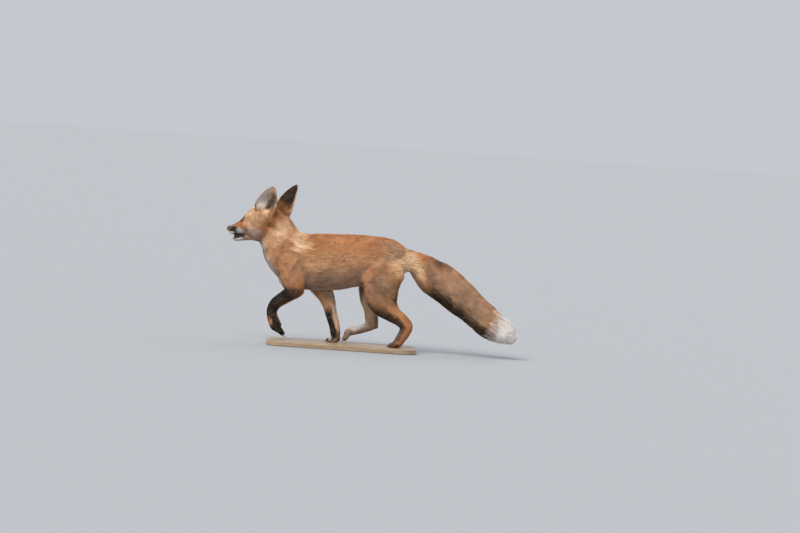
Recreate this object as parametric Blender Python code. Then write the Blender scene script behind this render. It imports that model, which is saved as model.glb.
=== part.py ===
"""A young red fox at a trot, life size, as a still museum model on a flat base.

The fox faces -X, its left side is at -Y and +Z is up. The body is modelled standing level, as one closed
skin drawn over swept masses. It is then pitched until its feet share one level, and parted by thin cuts.
Lengths in the tables are millimetres. The origin ends under the middle of the whole model, at the
base's underside.
"""

import math

import bmesh
import bpy
import numpy as np
from mathutils import Matrix, Vector

MM = 0.001

# Driving sizes, in millimetres and degrees.
BODY_PITCH = 4.0  # the body leans down at the front by this much, which brings the feet to one level
HEAD_YAW = 30.0  # the head looks to the fox's right
HEAD_PIVOT = (-300.0, 0.0)  # where the head turns on the neck, as X and Y
PARTING_GAP = 0.32  # the width of every thin cut, and of the gap between touching pieces
EYE_RADIUS = 8.5
SOCKET_RADIUS = EYE_RADIUS + PARTING_GAP + 0.2
VOXEL = 2.4
SMOOTHING = 6
BODY_TRIANGLES = 4550
BASE_SIZE = (470.0, 190.0, 16.0)
BASE_CENTRE = (-96.0, 0.0)
BASE_CORNER = 46.0
BASE_EDGE = 3.0
FINE_AHEAD, FINE_ABOVE = -300.0, 320.0  # the head keeps smaller faces than the rest
HEAD_THINNING = 0.35
CREASE = 40.0  # degrees above which an edge stays sharp

NEAR, FAR = -1.0, 1.0  # the fox's left side is at -Y and its right side at +Y

# Neck and trunk, head end first: X, Y, Z of the middle, half width, and reach above and below the middle.
TORSO = [
    (-327, 8, 392, 30, 44, 44),
    (-306, 6, 367, 38, 58, 58),
    (-289, 4, 334, 42, 64, 62),
    (-268, 2, 301, 46, 76, 76),
    (-243, 1, 284, 49, 81, 88),
    (-210, 0, 269, 52, 85, 91),
    (-163, 0, 265, 56, 87, 89),
    (-116, 0, 263, 58, 88, 88),
    (-68, 0, 266, 57, 84, 83),
    (-21, 0, 268, 53, 79, 78),
    (26, 0, 269, 50, 73, 72),
    (64, 0, 268, 44, 66, 62),
    (95, 0, 266, 36, 50, 44),
    (120, 0, 266, 22, 30, 26),
]

# The brush, root first: X, Y, Z, half width, and reach above and below.
TAIL = [
    (83, 0, 288, 20, 22, 22),
    (124, 0, 269, 28, 31, 29),
    (158, -1, 245, 40, 44, 41),
    (187, -2, 220, 49, 54, 53),
    (218, -3, 201, 51, 56, 56),
    (253, -4, 173, 50, 55, 55),
    (289, -4, 142, 48, 52, 52),
    (325, -3, 110, 44, 47, 47),
    (352, -2, 85, 44, 47, 47),
    (382, 0, 61, 42, 45, 45),
    (412, 2, 43, 37, 39, 38),
    (434, 3, 27, 28, 30, 28),
    (450, 4, 14, 13, 14, 12),
]

# Skull and upper jaw, in the head's own frame: forward of the pivot, top, underside, half width.
SKULL = [
    (177, 370, 354, 9),
    (171, 373.5, 351, 12.5),
    (158, 378.5, 350, 15),
    (143, 385, 350, 17.5),
    (130, 391.5, 349, 21),
    (118, 399, 347, 27),
    (105, 410, 341, 32),
    (90, 424, 335, 37),
    (72, 436, 329, 42),
    (50, 443, 326, 45),
    (25, 440, 326, 45),
    (2, 427, 330, 39),
    (-18, 410, 342, 28),
]

# Lower jaw, in the same frame.
JAW = [
    (161, 334.5, 329, 5.5),
    (153, 336, 327, 9.5),
    (138, 339, 326.5, 13),
    (122, 343, 328, 16.5),
    (106, 347, 330, 21),
    (86, 348, 331, 27),
    (65, 348, 328, 31),
]

# Each leg, top first: X, outward distance from the middle plane, Z, half width, reach behind, reach ahead.
FORELEG_LIFTED = [
    (-232, 32, 294, 12, 28, 26),
    (-261, 40, 247, 20, 42, 36),
    (-251, 43, 213, 23, 38, 38),
    (-232, 42, 187, 20, 28, 30),
    (-220, 41, 176, 14, 17, 18),
]
FOREARM_LIFTED = [
    (-217, 41, 184, 14, 16, 18),
    (-235, 40, 174, 16, 21, 22),
    (-255, 39, 165, 16, 22, 22),
    (-280, 38, 150, 15, 20, 20),
    (-303, 36, 132, 14, 18, 19),
    (-313, 35, 113, 13.5, 16, 17),
    (-311, 34, 90, 13.5, 17, 17),
    (-304, 33, 72, 14, 18, 19),
    (-297, 32, 58, 14, 17, 18),
]
FORELEG_PLANTED = [
    (-188, 32, 285, 12, 28, 26),
    (-185, 39, 244, 20, 40, 36),
    (-176, 41, 206, 22, 38, 38),
    (-160, 41, 178, 20, 30, 32),
    (-144, 39, 153, 17, 26, 26),
    (-135, 37, 128, 15, 21.5, 21.5),
    (-130, 34, 105, 14, 19, 19),
    (-124, 31, 83, 14, 18, 18),
    (-118, 29, 62, 14.5, 17, 17.5),
    (-115, 28, 44, 15, 16, 17),
    (-114, 28, 30, 15, 15, 16),
]
HINDLEG_PLANTED = [
    (45, 24, 282, 14, 40, 44),
    (39, 33, 250, 22, 62, 56),
    (32, 37, 216, 26, 74, 62),
    (26, 39, 181, 27, 62, 58),
    (30, 40, 150, 24, 72, 50),
    (43, 39, 124, 21, 50, 38),
    (67, 37, 101, 16, 27, 27),
    (95, 33, 80, 13.5, 21, 22),
    (110, 31, 62, 13, 20, 20),
    (103, 30, 41, 12.5, 18, 18),
    (90, 29, 21, 12.5, 16, 16),
    (82, 28, 8, 13, 14, 14),
]
HINDLEG_SWUNG = [
    (32, 24, 276, 14, 38, 42),
    (17, 33, 244, 22, 54, 54),
    (4, 37, 210, 26, 56, 50),
    (-7, 39, 175, 25, 46, 37),
    (-9, 39, 140, 22, 34, 27),
    (-2, 36, 109, 17, 24, 22),
    (-1, 33, 85, 14, 21, 21),
    (-1, 31, 66, 13.5, 20, 19),
    (-18, 29, 54, 12.5, 13.5, 14),
    (-43, 27, 47, 12, 13.5, 14),
    (-67, 25, 42, 12.5, 13, 13.5),
]

# How much higher than a plane the standing ground is at X, since the whole body is pitched afterwards.
GROUND_SLOPE = math.tan(math.radians(BODY_PITCH))

# How square the swept masses are in section: an oval at 2, and fuller above it.
OVAL = 2.0
TRUNK_FULLNESS = 2.1
SKULL_FULLNESS = 2.15
JAW_FULLNESS = 2.1

# The points of the hocks, left and right.
HOCKS = ((118, NEAR * 30, 66), (13, FAR * 31, 58))
HOCK_RADII = (9, 7, 9)

# Swellings on both sides of the head: forward, out and Z, then radii, turn outward and tilt.
HEAD_SWELLINGS = {
    "brow": ((97, 21, 405), (16, 9, 8), -14, 38),
    "cheekbone": ((82, 29, 378), (32, 13, 18), -16, 10),
    "cheek ruff": ((46, 28, 356), (42, 18, 28), 8, -14),
    "lip pad": ((156, 7, 358), (18, 10, 11), -8, 14),
    "ear muscle": ((24, 29, 407), (28, 13, 17), 14, 24),
}

EYE = (106, 20.5, 394)  # forward of the head's pivot, out from its middle, Z

# The nose and the wings of its nostrils: forward of the pivot, out and Z, then radii.
NOSE_MIDDLE, NOSE_RADII, NOSE_TILT = (173, 0, 365.5), (8.5, 9.5, 8), -12
NOSE_WING, NOSE_WING_RADII, NOSE_WING_TURN = (172, 5.5, 362), (8, 5.5, 6), 20
NOSE_VOXEL = 1.4
NOSE_TRIANGLES = 220

# The ears. Bases and tips are forward of the head's pivot, out from its middle, and Z.
EAR_SIDES = 9
EAR_WALL = 4.5  # at the rim
EAR_LEAST_HOLLOW = 0.45  # the hollow keeps this share of the width near the tip
EAR_BOW = 7.0  # how far the ear bows towards its back between base and tip
EAR_BASE = {1: (40, 31, 404), -1: (2, 29, 402)}
EAR_TIP = {1: (-29, 62, 502), -1: (-41, 61, 505)}
EAR_FULLNESS = {1: 1.0, -1: 0.87}  # the right ear is turned further back, so less of it shows
EAR_OPENING = {1: 97.0, -1: 102.0}  # degrees from straight ahead
# Each ring up the ear: share of its length, half width, depth of the back, depth of the hollow.
EAR_RINGS = [
    (0.00, 18, 15, -3),
    (0.10, 32, 20, -2),
    (0.20, 38, 23, 2),
    (0.30, 37.5, 24, 13),
    (0.41, 35.5, 22.5, 17),
    (0.53, 32.5, 19.5, 15.5),
    (0.64, 28.5, 16, 12.5),
    (0.74, 23.5, 12.5, 9.2),
    (0.83, 18, 9.6, 6.4),
    (0.91, 12.5, 7, 3.8),
    (0.965, 7.2, 4.6, 1.6),
    (1.00, 3, 2.4, 0.2),
]

# Cutting planes as X, Z and lean in degrees, standing level.
HEAD_CUT = (-303, 363, 50.0)
NECK_CUT = (-268, 304, 51.0)
TAIL_CUT = (138, 260, 37.4)
JAW_CUT = (74, 345, -2.0)  # forward of the head's pivot, Z and lean

# Shoulder and haunch eggs: middle, radii and tilt, then the block below, as lowest and highest X and Z.
LEGS = {
    "foreleg_left": (NEAR, ((-257, 62, 236), (42, 36, 72), 14.0), (-420, -90), (-186, 176)),
    "foreleg_right": (FAR, ((-180, 62, 232), (42, 36, 72), -6.0), (-215, -90), (-96.2, 176)),
    "hindleg_left": (NEAR, ((36, 62, 222), (62, 38, 70), 8.0), (-60, -90), (160, 182)),
    "hindleg_right": (FAR, ((14, 62, 220), (62, 38, 70), 14.0), (-95.6, -90), (120, 182)),
}

# Colour, roughness and metallic value of each sub-part's material.
FINISHES = {
    "head": ((0.56, 0.26, 0.10), 0.9, 0.0),
    "lower_jaw": ((0.55, 0.50, 0.46), 0.9, 0.0),
    "nose": ((0.02, 0.018, 0.018), 0.35, 0.0),
    "eye_left": ((0.10, 0.05, 0.02), 0.08, 0.0),
    "eye_right": ((0.10, 0.05, 0.02), 0.08, 0.0),
    "ear_left": ((0.30, 0.22, 0.18), 0.9, 0.0),
    "ear_right": ((0.06, 0.05, 0.05), 0.9, 0.0),
    "neck": ((0.55, 0.28, 0.12), 0.9, 0.0),
    "trunk": ((0.52, 0.26, 0.10), 0.9, 0.0),
    "tail": ((0.40, 0.22, 0.12), 0.92, 0.0),
    "foreleg_left": ((0.10, 0.08, 0.07), 0.9, 0.0),
    "foreleg_right": ((0.34, 0.18, 0.09), 0.9, 0.0),
    "hindleg_left": ((0.42, 0.22, 0.10), 0.9, 0.0),
    "hindleg_right": ((0.34, 0.24, 0.18), 0.9, 0.0),
    "stand_base": ((0.16, 0.10, 0.06), 0.45, 0.0),
}

# The paws: the palm, then each toe's reach ahead of the knuckle, its middle as X and Z, and its spread.
PAW_STANDS = 8.6  # the knuckle of a standing paw is this far above the ground
PALM_MIDDLE = (-2, 0, 3)
PALM_RADII = (17, 16.5, 12)
TOE_REACH = (17, 23, 23, 17)
TOE_MIDDLE = (3, -1.5)
TOE_RADII = (13, 6.4, 8.6)
TOE_STEP = 9.03  # from toe to toe
TOE_SPLAY = 7.0  # degrees between neighbours
TOE_DROP = 10.0  # degrees, tips down


def ground_at(x):
    """Height of the ground under X, while the body still stands level."""
    return -x * GROUND_SLOPE


# Each paw: its knuckle, then degrees of its heading about Z from -X and of its droop, and its size.
PAWS = {
    "forepaw_left": ((-297, NEAR * 31, 62), 0.0, -120.0, 1.04),
    "forepaw_right": ((-113, FAR * 28, ground_at(-113) + PAW_STANDS), 4.0, 0.0, 1.0),
    "hindpaw_left": ((82, NEAR * 28, ground_at(82) + PAW_STANDS), -3.0, 0.0, 0.98),
    "hindpaw_right": ((-71, FAR * 23, 38), 3.0, -44.0, 0.98),
}


def spline(rows, count):
    """The rows followed by one smooth curve, read at count places along it."""
    knots = np.array(rows, float)
    gaps = np.linalg.norm(np.diff(knots[:, :3], axis=0), axis=1)
    places = np.concatenate([[0.0], np.cumsum(gaps)])
    slopes = np.gradient(knots, places, axis=0)
    along = np.linspace(0.0, places[-1], count)
    left = np.clip(np.searchsorted(places, along, side="right") - 1, 0, len(rows) - 2)
    span = (places[left + 1] - places[left])[:, None]
    t = (along - places[left])[:, None] / span
    return (
        (2 * t**3 - 3 * t**2 + 1) * knots[left]
        + (t**3 - 2 * t**2 + t) * span * slopes[left]
        + (3 * t**2 - 2 * t**3) * knots[left + 1]
        + (t**3 - t**2) * span * slopes[left + 1]
    )


def sweep(bm, rows, rings, around, fullness, place=None):
    """Adds a closed body: oval rings square to the curve through rows, wider when fullness is above 2."""
    place = place or Matrix()
    read = spline(rows, rings)
    middles = [Vector(row[:3]) for row in read]
    loops = []
    for i, (middle, row) in enumerate(zip(middles, read)):
        along = (middles[min(i + 1, rings - 1)] - middles[max(i - 1, 0)]).normalized()
        side = Vector((0, 1, 0))
        side = (side - side.dot(along) * along).normalized()
        rise = along.cross(side)
        loop = []
        for k in range(around):
            turn = math.tau * k / around
            across = math.copysign(abs(math.cos(turn)) ** (2 / fullness), math.cos(turn))
            over = math.copysign(abs(math.sin(turn)) ** (2 / fullness), math.sin(turn))
            reach = row[4] if over > 0 else row[5]
            point = middle + side * (row[3] * across) + rise * (reach * over)
            loop.append(bm.verts.new(place @ point))
        loops.append(loop)
    for first, second in zip(loops, loops[1:]):
        for k in range(around):
            after = (k + 1) % around
            bm.faces.new((first[k], first[after], second[after], second[k]))
    bm.faces.new(loops[0][::-1])
    bm.faces.new(loops[-1])


def blob(bm, centre, radii, turn=0.0, tilt=0.0, place=None, around=24):
    """Adds an egg-shaped mass, tilted about Y and then turned about Z, in degrees."""
    spin = Matrix.Rotation(math.radians(turn), 4, "Z") @ Matrix.Rotation(math.radians(tilt), 4, "Y")
    shape = Matrix.Translation(centre) @ spin @ Matrix.Diagonal((*radii, 1.0))
    bmesh.ops.create_uvsphere(
        bm, u_segments=around, v_segments=around * 2 // 3, radius=1.0, matrix=(place or Matrix()) @ shape
    )


def head_frame():
    """Axes of the head: +X forward of the pivot, +Y to the fox's left, +Z up."""
    yaw = math.radians(HEAD_YAW)
    forward = Vector((-math.cos(yaw), math.sin(yaw), 0))
    left = Vector((-math.sin(yaw), -math.cos(yaw), 0))
    axes = Matrix((forward, left, Vector((0, 0, 1)))).transposed().to_4x4()
    return Matrix.Translation((*HEAD_PIVOT, 0)) @ axes


def head_masses(bm):
    """Skull, muzzle, brows, cheeks and lower jaw."""
    place = head_frame()
    for table, fullness in ((SKULL, SKULL_FULLNESS), (JAW, JAW_FULLNESS)):
        rows = []
        for forward, top, under, half_width in table[::-1]:
            half_height = (top - under) / 2
            rows.append((forward, 0, under + half_height, half_width, half_height, half_height))
        sweep(bm, rows, rings=36, around=28, fullness=fullness, place=place)
    for side in (-1, 1):
        for (forward, out, z), radii, turn, tilt in HEAD_SWELLINGS.values():
            blob(bm, (forward, side * out, z), radii, turn=side * turn, tilt=tilt, place=place)


def toes(bm, knuckle, heading, droop, size):
    """Four toes and the sole behind them. heading is the way the paw points, in degrees about Z from -X."""
    place = (
        Matrix.Translation(knuckle)
        @ Matrix.Rotation(math.radians(heading), 4, "Z")
        @ Matrix.Rotation(math.radians(droop), 4, "Y")
    )
    blob(bm, PALM_MIDDLE, [radius * size for radius in PALM_RADII], place=place)
    for k, reach in enumerate(TOE_REACH):
        step = k - (len(TOE_REACH) - 1) / 2
        centre = (TOE_MIDDLE[0] - reach * size, step * TOE_STEP * size, TOE_MIDDLE[1])
        toe_radii = [radius * size for radius in TOE_RADII]
        blob(bm, centre, toe_radii, turn=step * TOE_SPLAY, tilt=-TOE_DROP, place=place)


def whole_body():
    """The flesh and coat as one closed mesh, still standing level."""
    bm = bmesh.new()
    sweep(bm, TORSO, rings=64, around=40, fullness=TRUNK_FULLNESS)
    sweep(bm, TAIL, rings=48, around=32, fullness=OVAL)
    head_masses(bm)
    legs = (
        (FORELEG_LIFTED, NEAR),
        (FOREARM_LIFTED, NEAR),
        (FORELEG_PLANTED, FAR),
        (HINDLEG_PLANTED, NEAR),
        (HINDLEG_SWUNG, FAR),
    )
    for table, side in legs:
        rows = [(x, side * out, z, half, behind, ahead) for x, out, z, half, behind, ahead in table]
        sweep(bm, rows, rings=56, around=24, fullness=OVAL)
    for hock in HOCKS:
        blob(bm, hock, HOCK_RADII)
    for knuckle, heading, droop, size in PAWS.values():
        toes(bm, Vector(knuckle), heading, droop, size)
    return mesh_object("body", bm)


def mesh_object(name, bm):
    """A linked object that holds bm, with its faces pointing out."""
    bmesh.ops.recalc_face_normals(bm, faces=bm.faces)
    mesh = bpy.data.meshes.new(name)
    bm.to_mesh(mesh)
    bm.free()
    obj = bpy.data.objects.new(name, mesh)
    bpy.context.scene.collection.objects.link(obj)
    return obj


def applied(obj):
    """obj with its modifiers made part of its mesh."""
    graph = bpy.context.evaluated_depsgraph_get()
    mesh = bpy.data.meshes.new_from_object(obj.evaluated_get(graph))
    obj.modifiers.clear()
    obj.data = mesh
    return obj


def fuse(obj, voxel, rounds, triangles):
    """Draws one closed skin over the overlapping masses, smooths it and thins its faces."""
    remesh = obj.modifiers.new("Skin", "REMESH")
    remesh.mode = "VOXEL"
    remesh.voxel_size = voxel
    smooth = obj.modifiers.new("Smooth", "SMOOTH")
    smooth.factor = 0.5
    smooth.iterations = rounds
    triangulate = obj.modifiers.new("Triangles", "TRIANGULATE")
    triangulate.min_vertices = 4
    applied(obj)
    coarse = obj.vertex_groups.new(name="Coarse")
    for vert in obj.data.vertices:
        fine = vert.co.x < FINE_AHEAD and vert.co.z > FINE_ABOVE
        coarse.add([vert.index], HEAD_THINNING if fine else 1.0, "REPLACE")
    thin = obj.modifiers.new("Thin", "DECIMATE")
    thin.ratio = triangles / len(obj.data.polygons)
    thin.vertex_group = "Coarse"
    applied(obj)
    obj.vertex_groups.clear()
    return obj


def cut(obj, cutter, operation):
    """Applies one exact Boolean to obj."""
    boolean = obj.modifiers.new("Cut", "BOOLEAN")
    boolean.operation = operation
    boolean.solver = "EXACT"
    boolean.object = cutter
    return applied(obj)


def grown(cutter, by):
    """A copy of a cutter whose faces all stand out further by that much."""
    copy = cutter.copy()
    copy.data = cutter.data.copy()
    bpy.context.scene.collection.objects.link(copy)
    bm = bmesh.new()
    bm.from_mesh(copy.data)
    bm.normal_update()
    moves = [vert.normal * (by * vert.calc_shell_factor()) for vert in bm.verts]
    for vert, move in zip(bm.verts, moves):
        vert.co += move
    bm.to_mesh(copy.data)
    bm.free()
    return copy


def part_off(whole, region, name):
    """Splits whole along a region's surface with a thin cut, and returns the piece inside the region."""
    piece = whole.copy()
    piece.data = whole.data.copy()
    piece.name = name
    bpy.context.scene.collection.objects.link(piece)
    for obj, operation, wider in ((piece, "INTERSECT", 0.0), (whole, "DIFFERENCE", PARTING_GAP)):
        cutter = region(wider)
        cut(obj, cutter, operation)
        bpy.data.objects.remove(cutter)
        keep_main_body(obj)
    return piece


def keep_main_body(obj):
    """Drops the crumbs that a cut can leave, and keeps the largest closed body."""
    bm = bmesh.new()
    bm.from_mesh(obj.data)
    groups = []
    unseen = set(bm.verts)
    while unseen:
        group = set()
        front = [unseen.pop()]
        while front:
            vert = front.pop()
            group.add(vert)
            for edge in vert.link_edges:
                other = edge.other_vert(vert)
                if other in unseen:
                    unseen.remove(other)
                    front.append(other)
        groups.append(group)
    groups.sort(key=len, reverse=True)
    crumbs = [vert for group in groups[1:] for vert in group]
    bmesh.ops.delete(bm, geom=crumbs, context="VERTS")
    bm.to_mesh(obj.data)
    bm.free()


def block(low, high, wider, place=None):
    """A cutter block between two corners, and wider by a margin on every side."""
    bm = bmesh.new()
    size = Vector(high) - Vector(low) + Vector((2 * wider,) * 3)
    middle = (Vector(high) + Vector(low)) / 2
    shape = Matrix.Translation(middle) @ Matrix.Diagonal((*size, 1.0))
    bmesh.ops.create_cube(bm, size=1.0, matrix=(place or Matrix()) @ shape)
    return wire(mesh_object("cutter", bm))


def wire(obj):
    """Marks a cutter as a guide."""
    obj.display_type = "WIRE"
    obj.hide_render = True
    return obj


def tilted(x, z, degrees):
    """A frame at X and Z in the middle plane, turned about Y so that its +X leans down by that much."""
    return Matrix.Translation((x, 0, z)) @ Matrix.Rotation(math.radians(degrees), 4, "Y")


def head_region(wider):
    """Everything ahead of the plane from the nape to the throat."""
    return block((-400, -200, -200), (0, 200, 200), wider, tilted(*HEAD_CUT))


def neck_region(wider):
    """Everything ahead of the plane from the withers to the breast."""
    return block((-500, -200, -250), (0, 200, 250), wider, tilted(*NECK_CUT))


def jaw_region(wider):
    """The lower jaw: under the mouth line, ahead of the hinge."""
    lean = Matrix.Rotation(math.radians(JAW_CUT[2]), 4, "Y")
    place = head_frame() @ Matrix.Translation((JAW_CUT[0], 0, JAW_CUT[1])) @ lean
    return block((0, -80, -60), (150, 80, 0), wider, place)


def tail_region(wider):
    """The brush, beyond the plane at its root. It starts shallow, so as to pass over the thigh."""
    place = tilted(*TAIL_CUT)
    root = wire(block((0, -130, -46), (45, 130, 90), wider, place))
    brush = block((30, -130, -75), (560, 130, 90), wider, place)
    cut(root, brush, "UNION")
    bpy.data.objects.remove(brush)
    return root


def leg_region(side, muscle, low, high):
    """A leg below the belly, with the shoulder or haunch above it as an egg on the flank."""
    centre, radii, tilt = muscle

    def region(wider):
        bm = bmesh.new()
        grown_radii = [radius + wider for radius in radii]
        blob(bm, (centre[0], side * centre[1], centre[2]), grown_radii, tilt=tilt, around=12)
        egg = wire(mesh_object("cutter", bm))
        near, far = sorted((side * 2.0, side * 200.0))
        below = block((low[0], near, low[1]), (high[0], far, high[1]), wider)
        cut(egg, below, "UNION")
        bpy.data.objects.remove(below)
        return egg

    return region


def ear(side):
    """A cupped ear as a closed shell. Its open side faces outward."""
    place = head_frame()
    across_out = math.radians(EAR_OPENING[side])
    opening = Vector((math.cos(across_out), side * math.sin(across_out), 0))
    base = Vector((EAR_BASE[side][0], side * EAR_BASE[side][1], EAR_BASE[side][2]))
    tip = Vector((EAR_TIP[side][0], side * EAR_TIP[side][1], EAR_TIP[side][2]))
    axis = (tip - base).normalized()
    opening = (opening - opening.dot(axis) * axis).normalized()
    wide = axis.cross(opening)
    length = (tip - base).length
    bm = bmesh.new()
    loops = []
    for up, half, depth, hollow in EAR_RINGS:
        half *= EAR_FULLNESS[side]
        bow = opening * (-EAR_BOW * math.sin(math.pi * up))
        middle = base + axis * (length * up) + bow
        inner_half = max(half - EAR_WALL, half * EAR_LEAST_HOLLOW)
        loop = []
        for k in range(EAR_SIDES):
            turn = math.pi * (k / (EAR_SIDES - 1) - 0.5)
            loop.append(middle + wide * (half * math.sin(turn)) - opening * (depth * math.cos(turn)))
        for k in range(EAR_SIDES - 2, 0, -1):
            turn = math.pi * (k / (EAR_SIDES - 1) - 0.5)
            floor_at = hollow * math.cos(turn) ** 0.6
            loop.append(middle + wide * (inner_half * math.sin(turn)) - opening * floor_at)
        loops.append([bm.verts.new(place @ point) for point in loop])
    for first, second in zip(loops, loops[1:]):
        for k in range(len(first)):
            after = (k + 1) % len(first)
            bm.faces.new((first[k], first[after], second[after], second[k]))
    bm.faces.new(loops[0][::-1])
    bm.faces.new(loops[-1])
    return mesh_object("ear_left" if side > 0 else "ear_right", bm)


def eyeball(side):
    """An eye, sunk in its socket."""
    bm = bmesh.new()
    place = head_frame()
    shape = Matrix.Translation((EYE[0], side * EYE[1], EYE[2])) @ Matrix.Rotation(math.radians(90), 4, "X")
    bmesh.ops.create_uvsphere(bm, u_segments=14, v_segments=9, radius=EYE_RADIUS, matrix=place @ shape)
    return mesh_object("eye_left" if side > 0 else "eye_right", bm)


def socket(side):
    """The hollow that an eye sits in."""
    bm = bmesh.new()
    place = head_frame() @ Matrix.Translation((EYE[0], side * EYE[1], EYE[2]))
    bmesh.ops.create_uvsphere(bm, u_segments=16, v_segments=10, radius=SOCKET_RADIUS, matrix=place)
    return wire(mesh_object("cutter", bm))


def nose_leather():
    """The bare nose, as a pad over the end of the muzzle."""
    bm = bmesh.new()
    place = head_frame()
    blob(bm, NOSE_MIDDLE, NOSE_RADII, tilt=NOSE_TILT, place=place)
    for side in (-1, 1):
        wing = (NOSE_WING[0], side * NOSE_WING[1], NOSE_WING[2])
        blob(bm, wing, NOSE_WING_RADII, turn=side * NOSE_WING_TURN, place=place)
    return fuse(mesh_object("nose", bm), NOSE_VOXEL, 3, NOSE_TRIANGLES)


def stand():
    """The flat base: a rounded plate with eased edges."""
    long, wide, thick = BASE_SIZE
    bm = bmesh.new()
    loop = []
    for corner, (along, across) in enumerate(((1, 1), (-1, 1), (-1, -1), (1, -1))):
        for k in range(6):
            turn = math.radians(90 * corner + 90 * k / 5)
            x = BASE_CENTRE[0] + along * (long / 2 - BASE_CORNER) + BASE_CORNER * math.cos(turn)
            y = BASE_CENTRE[1] + across * (wide / 2 - BASE_CORNER) + BASE_CORNER * math.sin(turn)
            loop.append(bm.verts.new((x, y, 0)))
    face = bm.faces.new(loop)
    raised = bmesh.ops.extrude_face_region(bm, geom=[face])
    lift = [item for item in raised["geom"] if isinstance(item, bmesh.types.BMVert)]
    bmesh.ops.translate(bm, verts=lift, vec=(0, 0, thick))
    obj = mesh_object("stand_base", bm)
    bevel = obj.modifiers.new("Edge", "BEVEL")
    bevel.width = BASE_EDGE
    bevel.segments = 2
    bevel.limit_method = "ANGLE"
    bevel.angle_limit = math.radians(50)
    return applied(obj)


def material(name):
    """The sub-part's own Principled material."""
    colour, roughness, metallic = FINISHES[name]
    finish = bpy.data.materials.new(name)
    finish.use_nodes = True
    shader = finish.node_tree.nodes["Principled BSDF"]
    shader.inputs["Base Color"].default_value = (*colour, 1.0)
    shader.inputs["Roughness"].default_value = roughness
    shader.inputs["Metallic"].default_value = metallic
    finish.diffuse_color = (*colour, 1.0)
    return finish


def shade(obj, crease):
    """Shades obj smooth, but for the edges that turn by more than crease degrees."""
    bm = bmesh.new()
    bm.from_mesh(obj.data)
    for face in bm.faces:
        face.smooth = True
    for edge in bm.edges:
        edge.smooth = edge.calc_face_angle(0.0) < math.radians(crease)
    bm.to_mesh(obj.data)
    bm.free()


def build():
    """Makes every sub-part, level first, then pitched, stood on the base and scaled to metres."""
    for obj in list(bpy.data.objects):
        bpy.data.objects.remove(obj)
    body = fuse(whole_body(), VOXEL, SMOOTHING, BODY_TRIANGLES)
    nodes = {}
    solid = grown(body, PARTING_GAP)
    for side in (1, -1):
        piece = ear(side)
        cut(piece, solid, "DIFFERENCE")
        keep_main_body(piece)
        nodes[piece.name] = piece
    nose = nose_leather()
    cut(nose, solid, "DIFFERENCE")
    keep_main_body(nose)
    nodes["nose"] = nose
    bpy.data.objects.remove(solid)
    for side in (1, -1):
        ball = eyeball(side)
        nodes[ball.name] = ball
        hollow = socket(side)
        cut(body, hollow, "DIFFERENCE")
        bpy.data.objects.remove(hollow)
    nodes["head"] = part_off(body, head_region, "head")
    nodes["lower_jaw"] = part_off(nodes["head"], jaw_region, "lower_jaw")
    nodes["neck"] = part_off(body, neck_region, "neck")
    nodes["tail"] = part_off(body, tail_region, "tail")
    for name, (side, muscle, low, high) in LEGS.items():
        nodes[name] = part_off(body, leg_region(side, muscle, low, high), name)
    body.name = "trunk"
    nodes["trunk"] = body
    pitch = Matrix.Rotation(math.radians(-BODY_PITCH), 4, "Y")
    for obj in nodes.values():
        obj.data.transform(pitch)
    for name in ("foreleg_right", "hindleg_left"):
        ground = block((-400, -200, -80), (300, 200, 0), 0.0)
        cut(nodes[name], ground, "DIFFERENCE")
        bpy.data.objects.remove(ground)
    for obj in nodes.values():
        obj.data.transform(Matrix.Translation((0, 0, BASE_SIZE[2] + PARTING_GAP)))
    nodes["stand_base"] = stand()
    corners = np.array([vert.co for obj in nodes.values() for vert in obj.data.vertices])
    middle = (corners.min(axis=0) + corners.max(axis=0)) / 2
    place = Matrix.Diagonal((MM, MM, MM, 1.0)) @ Matrix.Translation((-middle[0], -middle[1], 0))
    for name, obj in nodes.items():
        obj.data.transform(place)
        obj.name = name
        obj.data.name = name
        obj.data.materials.clear()
        obj.data.materials.append(material(name))
        shade(obj, CREASE)


build()
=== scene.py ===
import itertools
import math

import bmesh
import bpy
import numpy as np
from mathutils import Matrix, Vector
from mathutils.bvhtree import BVHTree


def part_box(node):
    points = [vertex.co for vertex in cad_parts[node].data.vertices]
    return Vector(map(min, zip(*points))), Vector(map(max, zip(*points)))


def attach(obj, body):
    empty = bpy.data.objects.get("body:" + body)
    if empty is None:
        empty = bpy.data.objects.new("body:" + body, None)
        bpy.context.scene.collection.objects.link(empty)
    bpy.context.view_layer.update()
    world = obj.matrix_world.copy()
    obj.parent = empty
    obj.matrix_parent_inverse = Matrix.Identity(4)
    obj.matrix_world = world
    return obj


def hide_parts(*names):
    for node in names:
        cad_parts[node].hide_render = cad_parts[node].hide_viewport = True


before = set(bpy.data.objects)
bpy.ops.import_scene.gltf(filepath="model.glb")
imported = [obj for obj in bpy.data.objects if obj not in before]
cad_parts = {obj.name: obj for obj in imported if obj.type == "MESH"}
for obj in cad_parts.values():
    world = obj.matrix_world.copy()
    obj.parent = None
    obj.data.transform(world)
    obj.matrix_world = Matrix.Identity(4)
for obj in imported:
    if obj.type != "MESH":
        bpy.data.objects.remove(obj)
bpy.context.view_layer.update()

# ---- The display plate -------------------------------------------------------------------------
# The real plate is a slab of oak with round corners and eased edges, planed, oiled and satin lacquered.
# The standing paws are pinned to it from below. Its solid keeps its shape and gets the wood here.
OAK_PALE = (0.46, 0.335, 0.215, 1.0)
OAK_DARK = (0.27, 0.175, 0.095, 1.0)
OAK_PORE = (0.12, 0.075, 0.04, 1.0)
RING_RATE = 58.0  # how often the year rings turn from pale to dark and back
RING_STRETCH, RING_TURN = (0.55, 6.5, 6.5), (0.03, 0.02, 0.025)
GRAIN_STRETCH = (9.0, 240.0, 240.0)
PORE_STRETCH = (45.0, 900.0, 900.0)


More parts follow.
